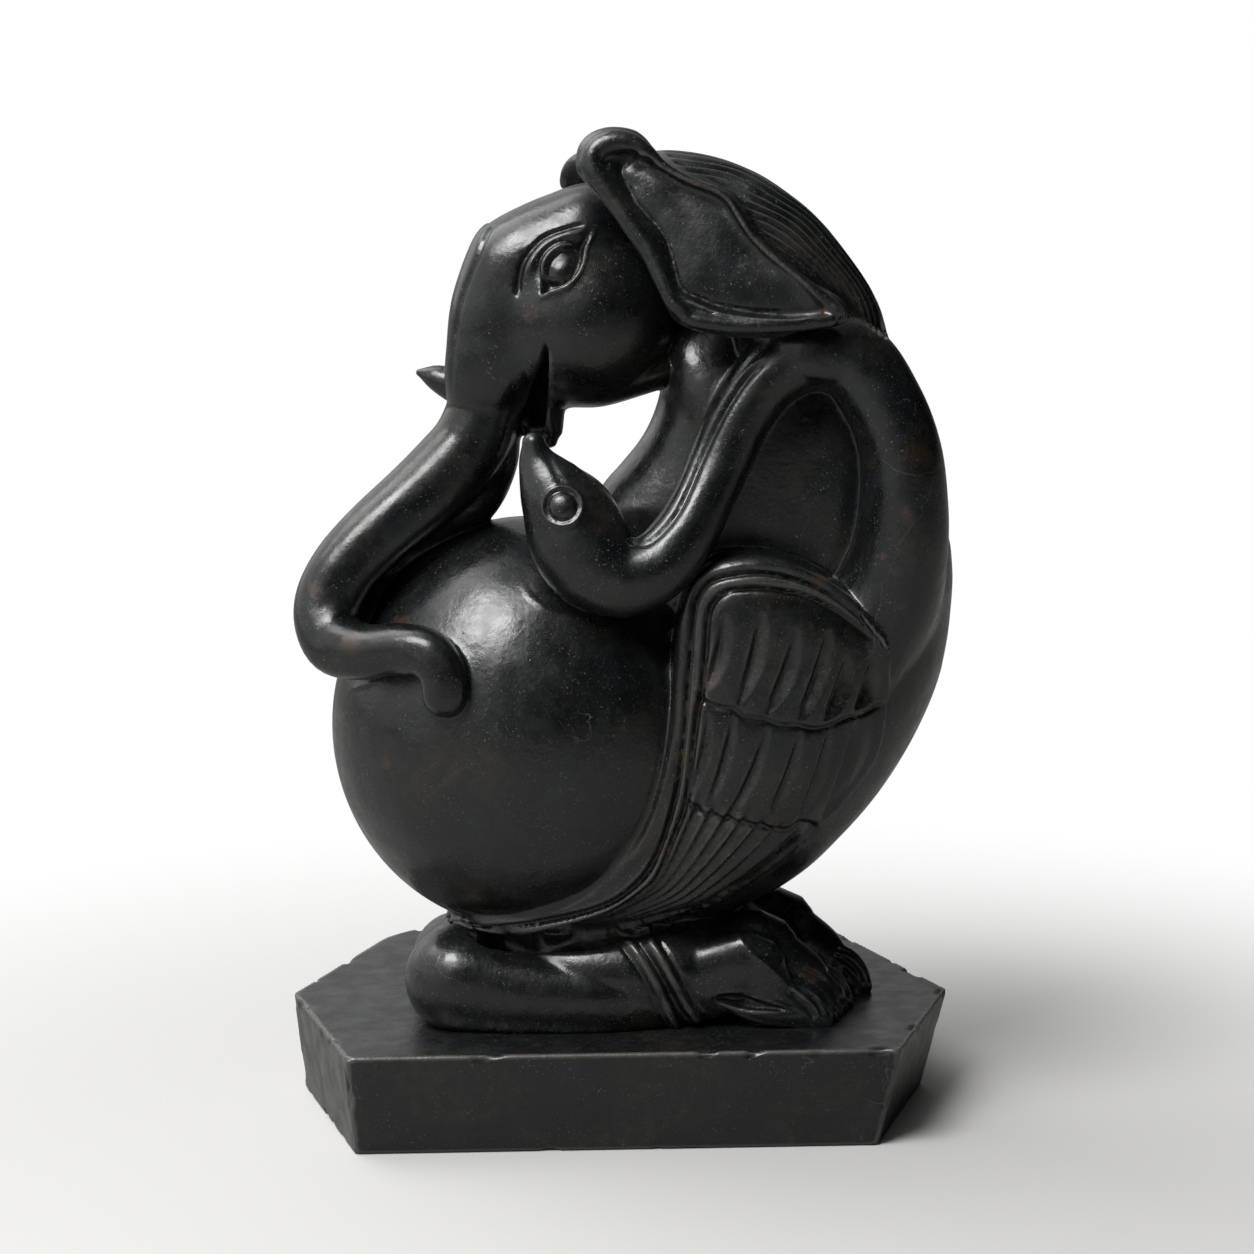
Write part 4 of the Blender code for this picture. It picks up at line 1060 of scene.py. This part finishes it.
def nick(slab, edges):
    """Knocks small chips off the edges here and there."""
    chips = np.array([noise.noise(Vector(point) / NICK_SPACING) for point in slab.points])
    depth = NICK_DEPTH * ease(edges / 0.06) * ease((chips - NICK_LEAST) / 0.30)
    slab.points -= slab.normals * depth[:, None]
    slab.write()


block = plinth()
bmesh.ops.triangulate(block, faces=[f for f in block.faces if len(f.verts) > 4])
bmesh.ops.scale(block, vec=(1 / MM, 1 / MM, 1 / MM), verts=block.verts)
for vertex in block.verts:
    vertex.co.z -= SINK
slab = Stone(merged([block], PLINTH_GRAIN / MM))
edges = slab.bend()
slab.keep("worn", edges)
nick(slab, edges)
mesh = slab.mesh
mesh.transform(Matrix.Scale(MM, 4) @ Matrix.Translation((0, 0, SINK)))
base = piece("statue_plinth", thinned(mesh, PLINTH_TRIANGLES))


# Granite
# Near-black granite, polished by hand: bluish and olive clouds, pale flecks and a few hair-fine
# veins, duller where it is cut, a little paler where its edges are worn, rusty in small patches.

DARK_STONE = (0.0040, 0.0046, 0.0050, 1)
BLUE_CLOUD = (0.0065, 0.0092, 0.0100, 1)
OLIVE_CLOUD = (0.0150, 0.0125, 0.0080, 1)
PALE_FLECK = (0.120, 0.122, 0.110, 1)
RUST = (0.050, 0.028, 0.014, 1)
CUT_DUST = (0.032, 0.030, 0.025, 1)
WORN_STONE = (0.070, 0.068, 0.060, 1)


class Recipe:
    """Adds nodes to one node tree and joins them up."""

    def __init__(self, tree):
        self.tree = tree

    def put(self, socket, value):
        if isinstance(value, bpy.types.NodeSocket):
            self.tree.links.new(value, socket)
        else:
            socket.default_value = value

    def add(self, kind, values=(), **settings):
        made = self.tree.nodes.new("ShaderNode" + kind)
        for name, setting in settings.items():
            setattr(made, name, setting)
        for name, value in dict(values).items():
            self.put(made.inputs[name], value)
        return made

    def maths(self, operation, *values):
        return self.add("Math", enumerate(values), operation=operation).outputs["Value"]

    def times(self, first, second):
        return self.maths("MULTIPLY", first, second)

    def noise(self, where, scale, detail=2.0, distortion=0.0):
        """Cloudy noise of one feature in every 1/scale metres."""
        made = self.add("TexNoise", {
            "Vector": where, "Scale": scale, "Detail": detail, "Distortion": distortion,
        })
        return made.outputs["Fac"]

    def cells(self, where, scale, feature="F1"):
        """The distances and colours of cells, one in every 1/scale metres."""
        made = self.add("TexVoronoi", {"Vector": where, "Scale": scale}, feature=feature)
        return made.outputs

    def spread(self, value, low, high, to_low=0.0, to_high=1.0):
        """A soft step: to_low below low, to_high above high."""
        made = self.add("MapRange", {
            "Value": value, "From Min": low, "From Max": high, "To Min": to_low, "To Max": to_high,
        }, interpolation_type="SMOOTHSTEP")
        return made.outputs["Result"]

    def blend(self, share, first, second):
        made = self.add("Mix", {0: share, 6: first, 7: second}, data_type="RGBA")
        return made.outputs[2]

    def shift(self, where, amount):
        """The coordinates moved on, so that a second pattern doesn't repeat the first."""
        made = self.add("VectorMath", {0: where, 1: amount}, operation="ADD")
        return made.outputs["Vector"]

    def bent(self, where, scale, detail, reach):
        """The coordinates pushed to and fro by a slow noise."""
        cloud = self.add("TexNoise", {"Vector": where, "Scale": scale, "Detail": detail})
        push = self.add("VectorMath", {0: cloud.outputs["Color"], 1: (reach,) * 3}, operation="MULTIPLY")
        return self.shift(where, push.outputs["Vector"])


def node_group(name, inputs, outputs):
    """An empty group with its named sockets, and its recipe, input node and output node."""
    group = bpy.data.node_groups.new(name, "ShaderNodeTree")
    for socket, kind in inputs.items():
        group.interface.new_socket(socket, in_out="INPUT", socket_type="NodeSocket" + kind)
    for socket, kind in outputs.items():
        group.interface.new_socket(socket, in_out="OUTPUT", socket_type="NodeSocket" + kind)
    given, given_back = group.nodes.new("NodeGroupInput"), group.nodes.new("NodeGroupOutput")
    return group, Recipe(group), given.outputs, given_back.inputs


def mineral_group():
    """The stone's own colour: clouds, mottles, flecks and veins."""
    group, make, given, result = node_group(
        "mineral", {"Where": "Vector", "Flecks": "Float"}, {"Colour": "Color"}
    )
    where = given["Where"]
    blue = make.spread(make.noise(where, 55, 3, 0.6), 0.48, 0.66)
    olive = make.spread(make.noise(make.shift(where, (3, 1, 7)), 38, 4, 0.8), 0.50, 0.68)
    mottle = make.spread(make.noise(make.shift(where, (9, 2, 4)), 300, 5), 0.40, 0.60)
    colour = make.blend(blue, DARK_STONE, BLUE_CLOUD)
    colour = make.blend(make.times(olive, 0.85), colour, OLIVE_CLOUD)
    colour = make.blend(make.times(mottle, 0.7), colour, DARK_STONE)
    fine = make.spread(make.noise(make.shift(where, (5, 8, 1)), 1500, 2), 0.64, 0.74)
    dots = make.cells(make.shift(where, (2, 4, 6)), 420)
    odd = make.add("SeparateColor", {"Color": dots["Color"]}).outputs["Green"]
    dot = make.times(make.spread(dots["Distance"], 0.06, 0.15, 1.0, 0.0), make.spread(odd, 0.62, 0.95))
    crowd = make.spread(make.noise(make.shift(where, (1, 6, 3)), 90, 2), 0.38, 0.62, 0.15, 1.0)
    fleck = make.times(make.maths("MAXIMUM", fine, dot), crowd)
    fleck = make.times(fleck, given["Flecks"])
    colour = make.blend(fleck, colour, PALE_FLECK)
    crack = make.cells(make.bent(where, 60, 3, 0.02), 17, "DISTANCE_TO_EDGE")
    vein = make.spread(crack["Distance"], 0.0, 0.0020, 1.0, 0.0)
    few = make.spread(make.noise(make.shift(where, (7, 7, 2)), 24, 1), 0.58, 0.66)
    colour = make.blend(make.times(make.times(vein, few), 0.5), colour, PALE_FLECK)
    make.put(result["Colour"], colour)
    return group


def rubbing_group():
    """The marks of polishing by hand: arcs and hairs of fine scratches, and small pits."""
    group, make, given, result = node_group(
        "rubbing", {"Where": "Vector"}, {"Scratch": "Float", "Height": "Float"}
    )
    where = given["Where"]
    bent = make.bent(where, 120, 1, 0.006)
    scratch = 0.0
    for scale, turns, step in ((48, 34, (0, 0, 0)), (90, 18, (4, 9, 2)), (130, 11, (7, 3, 5))):
        rub = make.cells(make.shift(bent, step), scale)
        ring = make.maths("FRACT", make.times(rub["Distance"], turns))
        line = make.spread(make.maths("ABSOLUTE", make.maths("SUBTRACT", ring, 0.5)), 0.0, 0.14, 1.0, 0.0)
        some = make.spread(make.noise(make.shift(where, step), 430, 2), 0.54, 0.68)
        scratch = make.maths("MAXIMUM", make.times(line, some), scratch)
    spots = make.cells(where, 310)
    pit = make.spread(spots["Distance"], 0.03, 0.12, 1.0, 0.0)
    rare = make.add("SeparateColor", {"Color": spots["Color"]})
    pit = make.times(pit, make.spread(rare.outputs["Red"], 0.80, 0.90))
    waves = make.noise(make.shift(where, (2, 5, 8)), 70, 3)
    grain = make.noise(make.shift(where, (8, 3, 3)), 900, 3)
    height = make.maths("ADD", make.times(waves, 0.55), make.times(grain, 0.07))
    height = make.maths("SUBTRACT", height, make.times(pit, 0.06))
    height = make.maths("SUBTRACT", height, make.times(scratch, 0.006))
    make.put(result["Scratch"], scratch)
    make.put(result["Height"], height)
    return group


def age_group():
    """Where edges are worn, cuts hold dust and rust has come to the surface."""
    group, make, given, result = node_group(
        "age",
        {"Where": "Vector", "Bend": "Float", "Pits": "Float", "Stain": "Float"},
        {"Edge": "Float", "Dust": "Float", "Rust": "Float"},
    )
    where = given["Where"]
    broken = make.noise(make.shift(where, (6, 1, 1)), 330, 4)
    edge = make.spread(make.maths("ADD", given["Bend"], make.times(broken, 0.05)), 0.07, 0.13)
    hollow = make.spread(make.times(given["Bend"], -1.0), 0.05, 0.14)
    patchy = make.noise(make.shift(where, (2, 2, 9)), 520, 3)
    cut = make.times(given["Pits"], make.spread(patchy, 0.42, 0.62))
    dust = make.maths("MAXIMUM", make.times(hollow, make.spread(patchy, 0.30, 0.60)), cut)
    cloud = make.times(make.noise(make.shift(where, (3, 3, 5)), 140, 4, 0.5), 1.3)
    rust = make.times(make.spread(make.times(given["Stain"], cloud), 0.20, 0.75), 0.6)
    freckle = make.spread(make.noise(make.shift(where, (5, 5, 5)), 62, 4, 0.4), 0.66, 0.74)
    make.put(result["Edge"], edge)
    make.put(result["Dust"], dust)
    make.put(result["Rust"], make.maths("MAXIMUM", rust, make.times(freckle, 0.6)))
    return group


mineral, rubbing, age = mineral_group(), rubbing_group(), age_group()


def granite(name, gloss, flecks, wear):
    """Polished granite: gloss is its roughness where it is clean, wear how much its age shows."""
    material = bpy.data.materials.new(name)
    material.use_nodes = True
    make = Recipe(material.node_tree)
    shader = material.node_tree.nodes["Principled BSDF"]
    where = make.add("TexCoord").outputs["Object"]
    stone = make.add("Group", node_tree=mineral)
    marks = make.add("Group", node_tree=rubbing)
    years = make.add("Group", node_tree=age)
    for group in (stone, marks, years):
        make.put(group.inputs["Where"], where)
    make.put(stone.inputs["Flecks"], flecks)
    for socket, attribute in (("Bend", "worn"), ("Pits", "pits"), ("Stain", "stain")):
        held = make.add("Attribute", attribute_name=attribute)
        make.put(years.inputs[socket], held.outputs["Fac"])
    edge = make.times(years.outputs["Edge"], wear)
    dust = make.times(years.outputs["Dust"], wear)
    colour = make.blend(edge, stone.outputs["Colour"], WORN_STONE)
    colour = make.blend(years.outputs["Rust"], colour, RUST)
    colour = make.blend(make.times(dust, 0.7), colour, CUT_DUST)
    colour = make.blend(make.times(marks.outputs["Scratch"], 0.07), colour, PALE_FLECK)
    make.put(shader.inputs["Base Color"], colour)
    cloudy = make.spread(make.noise(where, 150, 5), 0.35, 0.65, gloss - 0.05, gloss + 0.06)
    rough = make.maths("ADD", cloudy, make.times(dust, 0.25))
    rough = make.maths("ADD", rough, make.times(marks.outputs["Scratch"], 0.10))
    rough = make.maths("ADD", rough, make.times(years.outputs["Rust"], 0.10))
    make.put(shader.inputs["Roughness"], rough)
    bump = make.add("Bump", {"Height": marks.outputs["Height"], "Distance": 0.001, "Strength": 1.0})
    make.put(shader.inputs["Normal"], bump.outputs["Normal"])
    shader.inputs["IOR"].default_value = 1.55
    return material


figure.data.materials.append(granite("polished_granite", gloss=0.28, flecks=0.8, wear=0.55))
base.data.materials.append(granite("rubbed_granite", gloss=0.34, flecks=0.6, wear=0.8))


# Floor, light and camera
# A plain pale floor that runs back into white, a broad soft light from the upper left in front and
# a weaker one from high behind on the same side, and the photograph's own view.

FLOOR_SIZE = 14.0
PAPER_COLOUR = (0.50, 0.496, 0.485, 1)
PAPER_AWAY = (0.28, 0.28, 0.27, 1)  # as the stone mirrors it, dimmer, so that its undersides stay dark
WHITE_FROM, WHITE_TO = 0.20, 0.50  # metres: between these the floor runs out into white
WHITE_MIDDLE_Y = -0.15  # measured from here, in front of the statue
WHITE_GLOW = 0.97
ROOM_BRIGHT_WAY = (-0.90, 0.25, 0.20)  # the room is bright on the left and dark on the right
ROOM_DARK, ROOM_BRIGHT = -0.40, 0.90  # how far round that way its light begins and is full
shape = bmesh.new()
bmesh.ops.create_grid(shape, x_segments=1, y_segments=1, size=FLOOR_SIZE)
mesh = bpy.data.meshes.new("floor")
shape.to_mesh(mesh)
shape.free()
floor = new_object("floor", mesh)
paper = bpy.data.materials.new("floor_paper")
paper.use_nodes = True
make = Recipe(paper.node_tree)
shader = paper.node_tree.nodes["Principled BSDF"]
place_on_floor = make.shift(make.add("TexCoord").outputs["Object"], (0, -WHITE_MIDDLE_Y, 0))
away = make.add("VectorMath", {0: place_on_floor}, operation="LENGTH").outputs["Value"]
seen = make.add("LightPath").outputs["Is Camera Ray"]
white = make.times(make.spread(away, WHITE_FROM, WHITE_TO), seen)
paper_colour = make.blend(seen, PAPER_AWAY, PAPER_COLOUR)
make.put(shader.inputs["Base Color"], make.blend(white, paper_colour, (0, 0, 0, 1)))
make.put(shader.inputs["Emission Color"], make.blend(white, (0, 0, 0, 1), (1, 1, 1, 1)))
shader.inputs["Emission Strength"].default_value = WHITE_GLOW
shader.inputs["Roughness"].default_value = 0.9
floor.data.materials.append(paper)

world = bpy.data.worlds.new("studio")
bpy.context.scene.world = world
world.use_nodes = True
make = Recipe(world.node_tree)
air = world.node_tree.nodes["Background"]
seen_way = make.add("TexCoord").outputs["Generated"]
way = make.add("VectorMath", {0: seen_way, 1: ROOM_BRIGHT_WAY}, operation="DOT_PRODUCT").outputs["Value"]
room = make.spread(way, ROOM_DARK, ROOM_BRIGHT)
air.inputs["Color"].default_value = (1, 1, 1, 1)
seen = make.add("LightPath").outputs["Is Camera Ray"]
make.put(air.inputs["Strength"], make.maths("MAXIMUM", room, seen))


def way_to(azimuth, elevation):
    """The direction at an azimuth (0 is in front, positive to the right) and elevation in degrees."""
    turn, rise = math.radians(azimuth), math.radians(elevation)
    return Vector((math.sin(turn) * math.cos(rise), -math.cos(turn) * math.cos(rise), math.sin(rise)))


def soft_light(name, azimuth, elevation, distance, size, power, aim=(0, 0, 0.15)):
    """A square light that faces its aim."""
    lamp = bpy.data.lights.new(name, "AREA")
    lamp.size = size
    lamp.energy = power
    obj = new_object(name, lamp)
    back = way_to(azimuth, elevation)
    obj.location = Vector(aim) + back * distance
    obj.rotation_euler = back.to_track_quat("Z", "Y").to_euler()


soft_light("key", azimuth=-42, elevation=54, distance=1.4, size=0.7, power=25)
soft_light("high_behind", azimuth=-125, elevation=52, distance=1.6, size=1.1, power=11)

CAMERA_AZIMUTH, CAMERA_ELEVATION = -3.0, 12.0
CAMERA_DISTANCE = 1.1897
CAMERA_TARGET = Vector((0.002069, -0.0045, 0.1458645))
FOCAL_SHARE = 3898.5 / 1254  # focal length over the picture's width
SENSOR_WIDTH = 36
back = way_to(CAMERA_AZIMUTH, CAMERA_ELEVATION)
lens = bpy.data.cameras.new("camera")
lens.sensor_width = SENSOR_WIDTH
lens.lens = SENSOR_WIDTH * FOCAL_SHARE
camera = new_object("camera", lens)
camera.location = CAMERA_TARGET + back * CAMERA_DISTANCE
camera.rotation_euler = back.to_track_quat("Z", "Y").to_euler()
bpy.context.scene.camera = camera
bpy.context.scene.view_settings.view_transform = "Standard"
